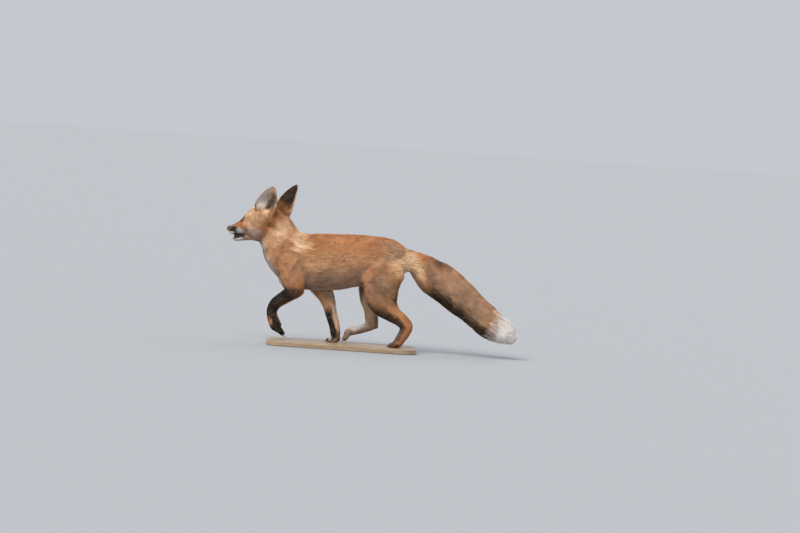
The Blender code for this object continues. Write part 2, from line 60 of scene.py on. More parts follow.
def new_finish(name):
    """A material with an empty node tree, and its tree."""
    finish = bpy.data.materials.new(name)
    finish.use_nodes = True
    finish.node_tree.nodes.clear()
    return finish, finish.node_tree


def add(tree, kind, sockets=(), **options):
    """One shader node. Each socket is given a value, or the output that feeds it."""
    made = tree.nodes.new("ShaderNode" + kind)
    for option, value in options.items():
        setattr(made, option, value)
    for socket, value in dict(sockets).items():
        if isinstance(value, bpy.types.NodeSocket):
            tree.links.new(value, made.inputs[socket])
        else:
            made.inputs[socket].default_value = value
    return made


def blended(tree, share, first, second):
    """The colour between first and second at that share."""
    return add(tree, "Mix", {0: share, 6: first, 7: second}, data_type="RGBA").outputs[2]


def ramped(tree, value, low, high, to_low=0.0, to_high=1.0):
    """value taken from one range to another, held inside the second."""
    span = {"From Min": low, "From Max": high, "To Min": to_low, "To Max": to_high}
    return add(tree, "MapRange", {"Value": value, **span}).outputs[0]


def worked_out(tree, operation, *values, **options):
    """One step of arithmetic on values."""
    return add(tree, "Math", dict(enumerate(values)), operation=operation, **options).outputs[0]


def noisy(tree, place, scale, stretch=None, turn=(0.0, 0.0, 0.0), **sockets):
    """Smooth noise, which is drawn out where stretch is small."""
    if stretch:
        place = add(tree, "Mapping", {"Vector": place, "Rotation": turn, "Scale": stretch}).outputs[0]
    return add(tree, "TexNoise", {"Vector": place, "Scale": scale, **sockets}).outputs["Fac"]


def over_piece(tree):
    """Each spot's place in the piece."""
    return add(tree, "TexCoord").outputs["Object"]


def bumped(tree, height, strength, distance):
    """The surface's direction, tilted by a relief."""
    return add(tree, "Bump", {"Height": height, "Strength": strength, "Distance": distance}).outputs[0]


def finished(tree, sockets):
    """Ends a tree with the shader, its sockets filled."""
    shader = add(tree, "BsdfPrincipled", sockets)
    output = tree.nodes.new("ShaderNodeOutputMaterial")
    tree.links.new(shader.outputs[0], output.inputs[0])


oak, tree = new_finish("oiled_oak")
place = over_piece(tree)
rings = noisy(tree, place, 5.5, RING_STRETCH, RING_TURN, Detail=3.0, Distortion=0.6)
figure = ramped(tree, worked_out(tree, "SINE", worked_out(tree, "MULTIPLY", rings, RING_RATE)), -1.0, 1.0)
grain = noisy(tree, place, 2.6, GRAIN_STRETCH, Detail=4.0)
pores = ramped(tree, noisy(tree, place, 1.4, PORE_STRETCH, Detail=1.0), 0.60, 0.70)
wood = blended(tree, ramped(tree, figure, 0.1, 0.95, 0.05, 0.55), OAK_PALE, OAK_DARK)
wood = blended(tree, ramped(tree, grain, 0.35, 0.75, 0.0, 0.45), wood, OAK_DARK)
wood = blended(tree, ramped(tree, pores, 0.0, 1.0, 0.0, 0.7), wood, OAK_PORE)
finished(tree, {
    "Base Color": wood,
    "Roughness": ramped(tree, grain, 0.3, 0.7, 0.36, 0.52),
    "Normal": bumped(tree, worked_out(tree, "SUBTRACT", grain, pores), 0.25, 0.0006),
    "Coat Weight": 0.25,
    "Coat Roughness": 0.3,
})
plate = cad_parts["stand_base"]
plate.data.materials.clear()
plate.data.materials.append(oak)

# ---- The skin ----------------------------------------------------------------------------------
# One skin, drawn over the whole body with no seam, lies under the coat by the coat's depth.
# The face is worked finer than the rest: lids round almond openings, lips and the ears' cups.
FLESH = (
    "head", "lower_jaw", "neck", "trunk", "tail", "ear_left", "ear_right",
    "foreleg_left", "foreleg_right", "hindleg_left", "hindleg_right",
)
MILLIMETRE = 0.001
CLOSING = 0.00024  # each solid swells by this much, so that the thin partings between them close
WIDE_PARTING = 2.5  # the partings round the eyes and ears are this much wider
SKIN_GRID = 0.0017
SKIN_TRIANGLES = 98000
FINE_SHARE = 0.12  # how freely the face and the paws are thinned, next to the body
LEAN = math.radians(4.0)  # the whole body is pitched down at the front
EYE_BALL = 0.0085


def triangles_of(mesh):
    """Corner places and triangles of a mesh, as arrays."""
    points = np.empty(len(mesh.vertices) * 3, np.float32)
    mesh.vertices.foreach_get("co", points)
    mesh.calc_loop_triangles()
    faces = np.empty(len(mesh.loop_triangles) * 3, np.int32)
    mesh.loop_triangles.foreach_get("vertices", faces)
    return points.reshape(-1, 3).astype(float), faces.reshape(-1, 3)


def normals_of(points, faces):
    """A smooth normal at each point."""
    a, b, c = (points[faces[:, k]] for k in range(3))
    square = np.cross(b - a, c - a)
    total = np.zeros_like(points)
    for k, axis in itertools.product(range(3), range(3)):
        total[:, axis] += np.bincount(faces[:, k], square[:, axis], len(points))
    return unit(total)


def unit(rows):
    """Each row at length one."""
    return rows / np.maximum(np.linalg.norm(rows, axis=-1, keepdims=True), 1e-12)


def eased(low, high, value):
    """0 below low and 1 above high, with a soft step between."""
    t = np.clip((value - low) / (high - low), 0.0, 1.0)
    return t * t * (3.0 - 2.0 * t)


def solid_from(name, points, faces):
    """A linked mesh object made of corner places and faces."""
    mesh = bpy.data.meshes.new(name)
    mesh.from_pydata(np.array(points, float).tolist(), [], faces)
    mesh.update()
    made = bpy.data.objects.new(name, mesh)
    bpy.context.scene.collection.objects.link(made)
    return made


def modified(made, kind, **options):
    """Applies one modifier to a piece."""
    step = made.modifiers.new(kind, kind)
    for option, value in options.items():
        setattr(step, option, value)
    graph = bpy.context.evaluated_depsgraph_get()
    mesh = bpy.data.meshes.new_from_object(made.evaluated_get(graph))
    made.modifiers.clear()
    made.data = mesh


def arrow(point):
    """A landmark given in millimetres, in metres."""
    return np.array(point, float) * MILLIMETRE


def middle_of(node):
    """The middle of a solid's box."""
    low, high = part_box(node)
    return np.array((low + high) / 2)


def relaxed(points, edges, amount, rounds):
    """points drawn towards their neighbours by amount, which may differ from point to point."""
    size = len(points)
    degree = np.maximum(np.bincount(edges.ravel(), minlength=size), 1)[:, None]
    share = np.broadcast_to(np.asarray(amount, float), (size,))[:, None]
    for _ in range(rounds):
        total = np.empty_like(points)
        for axis in range(points.shape[1]):
            total[:, axis] = np.bincount(edges[:, 0], points[edges[:, 1], axis], size)
            total[:, axis] += np.bincount(edges[:, 1], points[edges[:, 0], axis], size)
        points = points + share * (total / degree - points)
    return points


def evened(values, edges, amount, rounds):
    """One value at each point, drawn towards its neighbours' values."""
    return relaxed(values[:, None], edges, amount, rounds)[:, 0]


def ripple(points, swell, seed):
    """Smooth random values from -1 to 1, that come and go over swell metres."""
    spot = points / swell + seed * 17.31
    cell = np.floor(spot).astype(np.int64)
    part = spot - cell
    part = part * part * (3.0 - 2.0 * part)
    total = np.zeros(len(points))
    for corner in itertools.product((0, 1), repeat=3):
        # Large odd numbers scatter the corners' values, which are then brought to the range -1 to 1.
        key = (cell + corner) @ np.array((73856093, 19349663, 83492791)) + seed * 2654435761
        key = (key ^ (key >> 13)) * 1274126177
        key = (key ^ (key >> 16)) & 0xFFFFFF
        weight = np.prod(np.where(corner, part, 1.0 - part), axis=1)
        total += weight * (key / 8388607.5 - 1.0)
    return total


def ripples(points, swell, seeds):
    """Three ripples side by side."""
    return np.stack([ripple(points, swell, seed) for seed in seeds], axis=1)


# The head's own directions, from the eyes and the nose: ahead, to its left, and up.
SIDES = {"left": 1.0, "right": -1.0}
eye_place = {side: middle_of("eye_" + side) for side in SIDES}
head_middle = (eye_place["left"] + eye_place["right"]) / 2
head_left = unit(eye_place["left"] - eye_place["right"])
MUZZLE_FALL = math.radians(23.4)  # the line from the eyes to the nose runs down by this much
to_nose = unit(middle_of("nose") - head_middle)
over_nose = unit(np.cross(to_nose, head_left))
head_ahead = to_nose * math.cos(MUZZLE_FALL) + over_nose * math.sin(MUZZLE_FALL)
head_ahead = unit(head_ahead - head_left * (head_ahead @ head_left))
head_up = np.cross(head_ahead, head_left)
head_axes = np.array((head_ahead, head_left, head_up))


def in_head(points):
    """Places ahead of the eyes' middle, to its left and above it."""
    return (points - head_middle) @ head_axes.T


def from_head(ahead, left, up):
    """A place given in millimetres along the head's own directions."""
    return head_middle + arrow((ahead, left, up)) @ head_axes


# How the coat lies: chains of places in millimetres, each followed the way the hair points.
# Each chain: the body's half width there, whether its hair fans out from its first place, and its places.
# Each place: X, Y and Z, then the coat's depth, the tufts' length and width, and how closely they hug the skin.
NOSE_FAN = from_head(84, 0, -14) * 1000
COMBING = {
    "muzzle": (15, True, [
        (*NOSE_FAN, 0.7, 4, 0.85, 1), (-440, 74, 358, 0.7, 5, 0.85, 1), (-415, 58, 376, 1.1, 6.5, 1.0, 1),
    ]),
    "skull": (40, True, [
        (*NOSE_FAN, 0.8, 4, 0.85, 1), (-404, 52, 386, 1.6, 8, 1.1, 1), (-351, 19, 395, 3.0, 13, 1.35, 1),
        (-312, -3, 392, 6.0, 18, 1.4, 1),
    ]),
    "jaw": (12, True, [
        (*NOSE_FAN, 0.5, 4, 0.7, 1), (-445, 78, 322, 0.5, 5, 0.8, 1), (-405, 55, 325, 0.9, 7, 0.9, 1),
        (-366, 33, 330, 3.0, 12, 1.1, 1),
    ]),
    "cheek_left": (20, True, [
        (*NOSE_FAN, 0.8, 4, 0.7, 1), (-402, 6, 360, 2.5, 10, 1.1, 1), (-366, -12, 349, 5.5, 20, 1.4, 0.8),
    ]),
    "cheek_right": (20, True, [
        (*NOSE_FAN, 0.8, 4, 0.7, 1), (-372, 72, 360, 2.5, 10, 1.1, 1), (-332, 66, 352, 5.5, 20, 1.4, 0.8),
    ]),
    "ear_left": (28, False, [
        (-362, -10, 398, 1.4, 8, 1.0, 1), (-350, -30, 440, 0.8, 5.5, 0.9, 1),
        (-326, -69, 497, 0.6, 4.5, 0.8, 1),
    ]),
    "ear_right": (28, False, [
        (-300, 26, 398, 1.4, 8, 1.0, 1), (-278, 29, 445, 0.8, 5.5, 0.9, 1),
        (-254, 32, 505, 0.6, 4.5, 0.8, 1),
    ]),
    "nape": (40, False, [
        (-345, 12, 400, 5.0, 15, 1.3, 1), (-300, 3, 378, 8.0, 22, 1.6, 1), (-262, 0, 345, 9.5, 26, 1.8, 1),
        (-215, -1, 325, 8.5, 26, 1.8, 1),
    ]),
    "throat": (38, False, [
        (-375, 35, 335, 5.0, 14, 1.3, 1), (-340, 10, 312, 9.0, 24, 1.7, 0.9),
        (-316, 0, 270, 10.0, 28, 1.8, 0.9), (-288, 0, 222, 10.0, 28, 1.8, 0.9),
    ]),
    "trunk": (78, False, [
        (-262, 0, 290, 8.5, 26, 1.8, 1), (-214, -1, 278, 7.5, 25, 1.8, 1), (-120, -1, 274, 7.0, 24, 1.8, 1),
        (-25, -1, 279, 7.0, 25, 1.8, 1), (59, -1, 286, 8.0, 27, 1.9, 0.95),
        (100, -1, 288, 8.0, 28, 1.9, 0.9),
    ]),
    "sternum": (40, False, [
        (-282, 0, 222, 9.5, 28, 1.8, 0.9), (-230, 0, 205, 8.0, 24, 1.7, 1), (-120, 0, 212, 7.0, 22, 1.7, 1),
        (-20, 0, 232, 7.0, 24, 1.7, 1),
    ]),
    "breech_left": (22, False, [
        (104, -14, 288, 6.0, 24, 1.7, 0.9), (102, -24, 262, 8.0, 28, 1.8, 0.8),
        (92, -32, 228, 8.0, 28, 1.8, 0.8), (76, -38, 190, 6.0, 22, 1.6, 0.9),
    ]),
    "breech_right": (22, False, [
        (100, 14, 288, 6.0, 24, 1.7, 0.9), (86, 24, 262, 8.0, 28, 1.8, 0.8),
        (68, 32, 228, 8.0, 28, 1.8, 0.8), (48, 36, 190, 6.0, 22, 1.6, 0.9),
    ]),
    "tail": (42, False, [
        (70, -1, 303, 7.0, 26, 1.8, 1), (119, -1, 291, 9.0, 32, 2.0, 0.8),
        (155, -2, 270, 13.0, 40, 2.2, 0.7), (218, -4, 232, 17.0, 46, 2.3, 0.6),
        (293, -5, 178, 18.0, 48, 2.3, 0.55), (359, -3, 126, 17.0, 46, 2.3, 0.5),
        (422, 1, 86, 15.0, 42, 2.2, 0.35), (455, 3, 65, 10.0, 32, 2.0, 0.2),
    ]),
    "foreleg_left": (17, False, [
        (-240, -36, 285, 8.0, 22, 1.6, 1), (-262, -42, 245, 7.0, 20, 1.5, 1),
        (-248, -44, 208, 5.5, 17, 1.4, 0.9), (-222, -42, 186, 4.0, 14, 1.3, 0.9),
        (-250, -40, 164, 3.0, 11, 1.1, 1), (-276, -39, 146, 2.4, 9, 1.0, 1),
        (-300, -37, 122, 2.0, 8, 0.9, 1), (-306, -36, 102, 1.8, 8, 0.9, 1),
        (-302, -35, 84, 1.6, 7.5, 0.9, 1), (-293, -34, 66, 1.5, 7, 0.8, 1), (-284, -33, 50, 1.3, 6, 0.8, 1),
        (-272, -33, 34, 1.2, 6, 0.8, 1),
    ]),
    "foreleg_right": (17, False, [
        (-195, 34, 285, 8.0, 22, 1.6, 1), (-187, 38, 247, 7.0, 20, 1.5, 1),
        (-176, 40, 210, 5.5, 17, 1.4, 1), (-158, 40, 183, 4.0, 14, 1.3, 1),
        (-140, 38, 159, 2.8, 11, 1.1, 1), (-126, 35, 124, 2.2, 9, 1.0, 1), (-115, 30, 90, 1.8, 8, 0.9, 1),
        (-106, 28, 60, 1.6, 7.5, 0.9, 1), (-104, 27, 36, 1.4, 7, 0.8, 1), (-128, 27, 24, 1.2, 6, 0.8, 1),
    ]),
    "hindleg_left": (20, False, [
        (40, -30, 295, 8.0, 25, 1.8, 1), (34, -34, 262, 7.5, 24, 1.7, 1), (28, -38, 220, 7.0, 22, 1.6, 0.9),
        (28, -40, 185, 6.0, 20, 1.5, 0.9), (42, -40, 150, 4.0, 15, 1.3, 1), (74, -38, 122, 3.0, 12, 1.1, 1),
        (103, -34, 103, 2.4, 10, 1.0, 1), (119, -32, 84, 1.9, 8, 0.9, 1), (112, -31, 58, 1.7, 8, 0.9, 1),
        (100, -30, 36, 1.4, 7, 0.8, 1), (72, -29, 24, 1.2, 6, 0.8, 1),
    ]),
    "hindleg_right": (20, False, [
        (27, 30, 290, 8.0, 25, 1.8, 1), (14, 34, 256, 7.5, 24, 1.7, 1), (2, 37, 220, 7.0, 22, 1.6, 0.9),
        (-6, 38, 185, 5.5, 19, 1.5, 0.9), (-3, 37, 150, 3.8, 15, 1.3, 1), (5, 34, 118, 2.8, 12, 1.1, 1),
        (8, 30, 88, 2.0, 9, 0.9, 1), (-6, 28, 70, 1.8, 8, 0.9, 1), (-32, 26, 60, 1.6, 8, 0.9, 1),
        (-60, 24, 50, 1.3, 7, 0.8, 1), (-78, 23, 34, 1.2, 6, 0.8, 1),
    ]),
}
CHAINS = tuple(COMBING)
SHARPNESS = 6.0  # how fast one chain hands over to the next
CLOSEST = 0.004  # nearer to a chain than this, nothing changes


def combed(points):
    """How the coat lies at each place: its flow, depth, length, width and hug, and where it is on the body."""
    size = len(points)
    flow, traits = np.zeros((size, 3)), np.zeros((size, 4))
    weight_sum, best = np.zeros(size), np.zeros(size)
    near = {"chain": np.zeros(size, int), "along": np.zeros(size), "out": np.zeros((size, 3)),
            "heading": np.zeros((size, 3)), "share": np.zeros((size, len(CHAINS)))}
    for index, (radius, fans, stations) in enumerate(COMBING.values()):
        stations = np.array(stations)
        places, values = stations[:, :3] * MILLIMETRE, stations[:, 3:]
        walked = 0.0
        for k in range(1 if fans else 0, len(places) - 1):
            run = places[k + 1] - places[k]
            length = np.linalg.norm(run)
            t = np.clip((points - places[k]) @ run / length**2, 0.0, 1.0)
            off = points - (places[k] + t[:, None] * run)
            distance = np.linalg.norm(off, axis=1)
            weight = (radius * MILLIMETRE / np.maximum(distance, CLOSEST)) ** SHARPNESS
            heading = unit(points - places[0]) if fans else np.broadcast_to(run / length, (size, 3))
            flow += weight[:, None] * heading
            traits += weight[:, None] * (values[k] * (1 - t[:, None]) + values[k + 1] * t[:, None])
            weight_sum += weight
            near["share"][:, index] += weight
            closer = weight > best
            best[closer] = weight[closer]
            near["chain"][closer] = index
            near["along"][closer] = (walked + t * length)[closer]
            near["out"][closer] = unit(off)[closer]
            near["heading"][closer] = run / length
            walked += length
    near["share"] /= weight_sum[:, None]
    traits /= weight_sum[:, None]
    near["flow"] = unit(flow)
    near["depth"], near["length"], near["width"] = (traits[:, :3] * MILLIMETRE).T
    near["hug"] = traits[:, 3]
    return near


all_points, all_faces, count = [], [], 0
for name in (*FLESH, "eye_left", "eye_right"):
    points, faces = triangles_of(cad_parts[name].data)
    swell = CLOSING * (WIDE_PARTING if name.startswith("e") else 1.0)
    all_points.append(points + normals_of(points, faces) * swell)
    all_faces.append(faces + count)
    count += len(points)
skin = solid_from("skin", np.concatenate(all_points), np.concatenate(all_faces).tolist())
modified(skin, "REMESH", mode="VOXEL", voxel_size=SKIN_GRID)

# The body's faces are thinned, and the head, ears and paws keep theirs.
points, faces = triangles_of(skin.data)
head_spot = in_head(points)
fine = (head_spot[:, 0] > -0.075) & (points[:, 2] > 0.30) & (points[:, 0] < -0.24)
fine |= points[:, 2] < 0.075
group = skin.vertex_groups.new(name="coarse")
group.add(np.flatnonzero(~fine).tolist(), 1.0, "REPLACE")
group.add(np.flatnonzero(fine).tolist(), FINE_SHARE, "REPLACE")
modified(skin, "DECIMATE", ratio=SKIN_TRIANGLES / len(faces), vertex_group="coarse")
skin.vertex_groups.clear()


def edges_of(mesh):
    """The two ends of each edge."""
    ends = np.empty(len(mesh.edges) * 2, np.int32)
    mesh.edges.foreach_get("vertices", ends)
    return ends.reshape(-1, 2)


def moved(mesh, points):
    """Sets the places of a mesh's points."""
    mesh.vertices.foreach_set("co", points.astype(np.float32).ravel())
    mesh.update()


def split_near(made, inside):
    """Cuts in two each edge with both its ends inside, for finer shapes there."""
    bm = bmesh.new()
    bm.from_mesh(made.data)
    chosen = [edge for edge in bm.edges if inside[edge.verts[0].index] and inside[edge.verts[1].index]]
    bmesh.ops.subdivide_edges(bm, edges=chosen, cuts=1, use_grid_fill=True)
    bmesh.ops.triangulate(bm, faces=bm.faces)
    bm.to_mesh(made.data)
    bm.free()
    return triangles_of(made.data)


# The skin sinks in from the coat's outline by the coat's depth, in steps, and is eased between them.
FOLDS = ((93, -38, 203), (52, 38, 200), (-223, 0, 355))  # behind each thigh and over the withers
THICKEST = 0.03
THIN_SHARE = 0.30  # how much of a thin part, such as an ear, the coat may take from each side
THIN_COAT, THICK_COAT = 0.0012, 0.006
SINK_STEPS, LETTING_OUT_STEPS = 5, 3
points, faces = triangles_of(skin.data)
edges = edges_of(skin.data)
for fold in FOLDS:
    close_by = eased(0.034, 0.018, np.linalg.norm(points - arrow(fold), axis=1))
    points = relaxed(points, edges, 0.6 * close_by, 90)
outline = BVHTree.FromPolygons(points.tolist(), faces.tolist())
lie = combed(points)
ways_in = -normals_of(points, faces)
starts = points + ways_in * 0.0004
through = [outline.ray_cast(a, b, THICKEST)[3] or THICKEST for a, b in zip(starts.tolist(), ways_in.tolist())]
depth = evened(np.minimum(lie["depth"], np.array(through) * THIN_SHARE), edges, 0.5, 3)
thick_coat = eased(THIN_COAT, THICK_COAT, depth)
points = relaxed(points, edges, 0.10 + 0.4 * thick_coat, 4)
for _ in range(SINK_STEPS):
    points = points - normals_of(points, faces) * (depth / SINK_STEPS)[:, None]
    points = relaxed(points, edges, 0.03 + 0.45 * thick_coat, 2)
# Easing draws narrow parts in too far, as at toes and lips, so they are let out again.
for _ in range(LETTING_OUT_STEPS):
    ways = normals_of(points, faces)
    starts = points - ways * 0.0002
    gap = [outline.ray_cast(a, b, THICKEST)[3] for a, b in zip(starts.tolist(), ways.tolist())]
    gap = [outline.find_nearest(a)[3] if b is None else b for a, b in zip(points.tolist(), gap)]
    short = evened(np.clip(np.array(gap) - depth, -0.002, 0.006), edges, 0.5, 2)
    points = points + ways * short[:, None] * 0.7
moved(skin.data, points)
EYE_WORK = 0.021  # the lids are worked this far from the middle of each eye
head_spot = in_head(points)
face_front = (head_spot[:, 0] > -0.030) & (points[:, 0] < -0.35) & (points[:, 2] > 0.30)
points, faces = split_near(skin, face_front)
from_eyes = np.min([np.linalg.norm(points - place, axis=1) for place in eye_place.values()], axis=0)
points, faces = split_near(skin, from_eyes < EYE_WORK)
edges = edges_of(skin.data)

# Lids: the skin dips behind the eyeball inside the almond opening and stands over it at the rim.
GAZE = {side: unit(np.array((0.58, 0.80 * way, 0.10)) @ head_axes) for side, way in SIDES.items()}
LID_SLANT = math.radians(17.0)  # the outer corner of each eye is the higher one
OPENING = (0.0086, 0.0052, 0.0045)  # half length, reach up and reach down
LID_PINCH = 0.35  # how much lower the opening is at its corners
BEHIND_BALL, OVER_BALL = EYE_BALL - 0.0017, EYE_BALL + 0.0009
TEAR_SPOT, TEAR_SIZE = (-0.0115, -0.0012), (0.0060, 0.0019)


def eye_space(points, side):
    """Along an eye from its inner to its outer corner, up it, and out of it."""
    gaze = GAZE[side]
    level = unit(head_ahead - gaze * (head_ahead @ gaze))
    rise = np.cross(level, gaze) * SIDES[side]
    rise = rise * np.sign(rise @ head_up)
    outward = -level * math.cos(LID_SLANT) + rise * math.sin(LID_SLANT)
    up = rise * math.cos(LID_SLANT) + level * math.sin(LID_SLANT)
    return (points - eye_place[side]) @ np.array((outward, up, gaze)).T


def almond(spot):
    """0 at the middle of the opening between the lids, 1 at its edge and more beyond."""
    half, above, below = OPENING
    reach = np.where(spot[:, 1] > 0, above, below)
    pinch = 1.0 - LID_PINCH * np.clip(np.abs(spot[:, 0]) / half, 0, 1) ** 2
    return np.sqrt((spot[:, 0] / half) ** 2 + (spot[:, 1] / (reach * pinch)) ** 2)


rim_dark = np.zeros(len(points))
for side, place in eye_place.items():
    spot = eye_space(points, side)
    away = np.linalg.norm(spot, axis=1)
    facing = (spot[:, 2] > -0.001) & (away < EYE_WORK)
    edge = almond(spot)
    target = BEHIND_BALL + (OVER_BALL - BEHIND_BALL) * eased(0.93, 1.16, edge)
    hold = 1.0 - eased(1.35, 2.6, edge)
    target = np.where(edge > 1.2, np.maximum(target, np.minimum(away, OVER_BALL + 0.002)), target)
    wanted = away + (target - away) * hold
    scale = np.where(facing, wanted / np.maximum(away, 1e-6), 1.0)
    points = np.where(facing[:, None], place + (points - place) * scale[:, None], points)
    rim_dark = np.maximum(rim_dark, np.where(facing, 1.0 - eased(1.25, 1.75, edge), 0.0))
    tear = np.hypot(*((spot[:, k] - TEAR_SPOT[k]) / TEAR_SIZE[k] for k in range(2)))
    rim_dark = np.maximum(rim_dark, np.where(spot[:, 2] > 0, 0.9 * (1.0 - eased(0.6, 1.3, tear)), 0.0))

# The mouth: dark moist lining between the jaws, and black lips along both.
MOUTH_BACK, MOUTH_FRONT, MOUTH_HALF = -0.004, 0.066, 0.024
LIP_LINE, LIP_REACH, MOUTH_FLOOR = -0.0450, 0.0052, -0.066
LEVEL_ENOUGH = 0.64  # the lining starts where the jaws face one another this squarely
head_spot = in_head(points)
facing_up = normals_of(points, faces) @ head_up
in_mouth = (head_spot[:, 0] > MOUTH_BACK) & (head_spot[:, 0] < MOUTH_FRONT)
in_mouth &= np.abs(head_spot[:, 1]) < MOUTH_HALF
roof = in_mouth & (facing_up < -LEVEL_ENOUGH) & (np.abs(head_spot[:, 2] - LIP_LINE) < LIP_REACH)
bed = in_mouth & (facing_up > LEVEL_ENOUGH) & (head_spot[:, 2] < LIP_LINE - 0.0005)
bed &= (head_spot[:, 2] > MOUTH_FLOOR) & (points[:, 2] > 0.30)
lining = eased(0.25, 0.85, evened((roof | bed).astype(float), edges, 0.6, 2))
lip = eased(0.30, 0.80, lining)
moved(skin.data, points)

# The coat's markings, as soft patches: marking, strength, middle, radii, turn and softness.
# Each is on both flanks unless its reach across the body is small.
BODY_PATCHES = [
    ("pale", 0.95, (-233, 0, 320), (22, 90, 30), 0, 0.4),
    ("pale", 0.40, (-306, 0, 345), (28, 90, 48), 32, 0.7),
    ("rust", 0.32, (-300, 0, 325), (40, 90, 40), 32, 0.7),
    ("pale", 0.10, (-120, 0, 342), (150, 90, 18), -3, 0.6),
    ("pale", 0.22, (-90, 0, 276), (140, 90, 26), -3, 0.7),
    ("rust", 0.60, (-110, 0, 348), (190, 90, 30), -3, 0.6),
    ("rust", 0.35, (-196, 0, 322), (22, 90, 30), 0, 0.6),
    ("rust", 0.35, (-262, 0, 232), (30, 90, 44), 14, 0.6),
    ("grey", 0.30, (-250, 0, 226), (34, 90, 50), 10, 0.6),
    # A painted shadow line in the crease between the cheek ruff and the neck, black over rust.
    ("black", 0.50, (-334, 0, 376), (9, 90, 36), 28, 0.8),
    ("rust", 0.95, (-332, 0, 372), (14, 90, 38), 28, 0.5),
    ("pale", 0.38, (-298, 0, 350), (24, 90, 36), 32, 0.7),
    ("pale", 0.20, (-236, 0, 358), (40, 90, 14), -3, 0.7),
    ("rust", 0.42, (-30, 0, 262), (70, 90, 40), 10, 0.7),
    ("rust", 0.45, (40, 0, 160), (44, 90, 34), 30, 0.6),
    ("grey", 0.45, (30, 0, 196), (48, 90, 44), 20, 0.7),
    ("black", 0.30, (44, 0, 166), (50, 90, 40), 30, 0.7),
    ("black", 0.46, (72, 0, 184), (24, 90, 36), 14, 0.6),
    ("black", 0.76, (32, -40, 122), (40, 34, 13), 30, 0.5),
    ("grey", 0.50, (60, 0, 322), (44, 90, 20), 20, 0.6),
    ("grey", 0.40, (50, 0, 300), (22, 90, 16), 10, 0.6),
    ("pale", 0.45, (76, 0, 284), (24, 90, 22), 10, 0.6),
    # Along the belly's edge the grey and black are painted shade under the body, over the rust of the belly's
    # own fur.
    ("grey", 0.10, (-90, 0, 196), (150, 90, 20), -4, 0.5),
    ("rust", 0.86, (-90, 0, 206), (150, 90, 20), -4, 0.6),
    ("black", 0.12, (-90, 0, 180), (150, 90, 20), -4, 0.6),
    ("grey", 0.38, (22, 0, 226), (36, 90, 46), 0, 0.7),
    ("black", 0.26, (32, 0, 230), (50, 90, 50), 0, 0.6),
    ("pale", 0.78, (97, 0, 262), (20, 90, 28), 14, 0.6),
    ("pale", 1.00, (122, 0, 288), (30, 90, 20), 35, 0.5),
    ("pale", 0.50, (152, 0, 258), (15, 90, 26), 10, 0.5),
    ("rust", 1.00, (150, 0, 306), (25, 60, 15), 25, 0.45),
    ("black", 0.74, (205, 0, 288), (32, 50, 20), 33, 0.5),
    ("black", 0.55, (186, 0, 250), (14, 90, 36), -14, 0.5),
    ("grey", 0.70, (290, 0, 186), (130, 90, 40), 37, 0.8),
    ("black", 0.17, (290, 0, 186), (130, 90, 40), 37, 0.8),
    ("black", 0.40, (-222, -40, 178), (30, 30, 12), 0, 0.6),
    ("white", 0.55, (-38, 26, 66), (26, 22, 9), -14, 0.5),
    ("white", 0.70, (-118, 30, 26), (7, 22, 6), 0, 0.5),
]
# The same for the head, in millimetres ahead of the eyes, out to either side, and above them.
FACE_PATCHES = [
    ("grey", 0.85, (-44, 40, -44), (46, 26, 24)),
    ("white", 0.16, (-42, 40, -42), (44, 26, 20)),
    ("white", 0.97, (13, 22, -35), (21, 13, 11)),
    ("white", 0.94, (36, 16, -47), (34, 16, 9)),
    ("grey", 0.80, (2, 18, -51), (26, 22, 10)),
    ("white", 0.36, (4, 18, -51), (26, 22, 10)),
    # The grey and black on the lower jaw are painted shade under the head.
    ("rust", 0.15, (12, 0, -62), (80, 30, 17)),
    ("grey", 0.70, (12, 0, -62), (80, 30, 17)),
    ("black", 0.22, (2, 0, -62), (50, 30, 17)),
    ("white", 0.55, (36, 0, -58), (38, 22, 9)),
    ("rust", 0.65, (42, 0, -8), (38, 14, 13)),
    ("grey", 0.50, (46, 0, -14), (30, 16, 14)),
    ("pale", 0.20, (46, 0, -6), (30, 6, 10)),
    ("black", 0.97, (40, 15, -31), (20, 11, 11.5)),
    # A painted highlight: pale on the forehead and crown, where the light falls from above.
    ("pale", 0.76, (-22, 12, 30), (42, 24, 16)),
    ("pale", 0.52, (-40, 38, 4), (40, 28, 28)),
    ("rust", 0.96, (-50, 38, 2), (60, 30, 32)),
    ("rust", 0.95, (-90, 34, -14), (18, 26, 36)),
    ("black", 0.18, (-90, 34, -14), (15, 26, 34)),
    ("rust", 0.95, (8, 22, -15), (13, 9, 6)),
    ("black", 0.45, (-13, 20, 2), (9, 6, 3.5)),
]
FACE_SOFT = 0.4
BIB_FACES = (-0.87, 0.0, -0.5)  # the bib covers what looks ahead and down like this
WRIST_SPOT = ((-309, -36, 70), (10, 20, 13))  # a bright patch that the lifted foreleg's black leaves out
# Painted shade in the middle of an ear's cup.
CUP_PAINTED_SHADE = ((-3, 40), (9, 13))  # the dark middle of an ear's cup: behind its middle line and up the ear
EAR_OPENING = {"ear_left": (-0.12, 0.99, 0.0), "ear_right": (-0.21, -0.98, 0.0)}


def egg(off, radii, soft):
    """1 inside an egg-shaped place and 0 outside it."""
    reach = np.sqrt(((off / radii) ** 2).sum(axis=1))
    return 1.0 - eased(1.0 - soft, 1.0 + soft, reach)


def ear_space(points, name):
    """The way an ear opens, and how far behind its middle line each place lies."""
    foot, tip = (arrow(COMBING[name][2][k][:3]) for k in (0, -1))
    axis = unit(tip - foot)
    opening = np.array(EAR_OPENING[name]) @ head_axes
    opening = unit(opening - axis * (opening @ axis))
    rearward = np.cross(axis, opening)
    rearward = rearward * -np.sign(rearward @ head_ahead)
    return opening, (points - foot) @ rearward


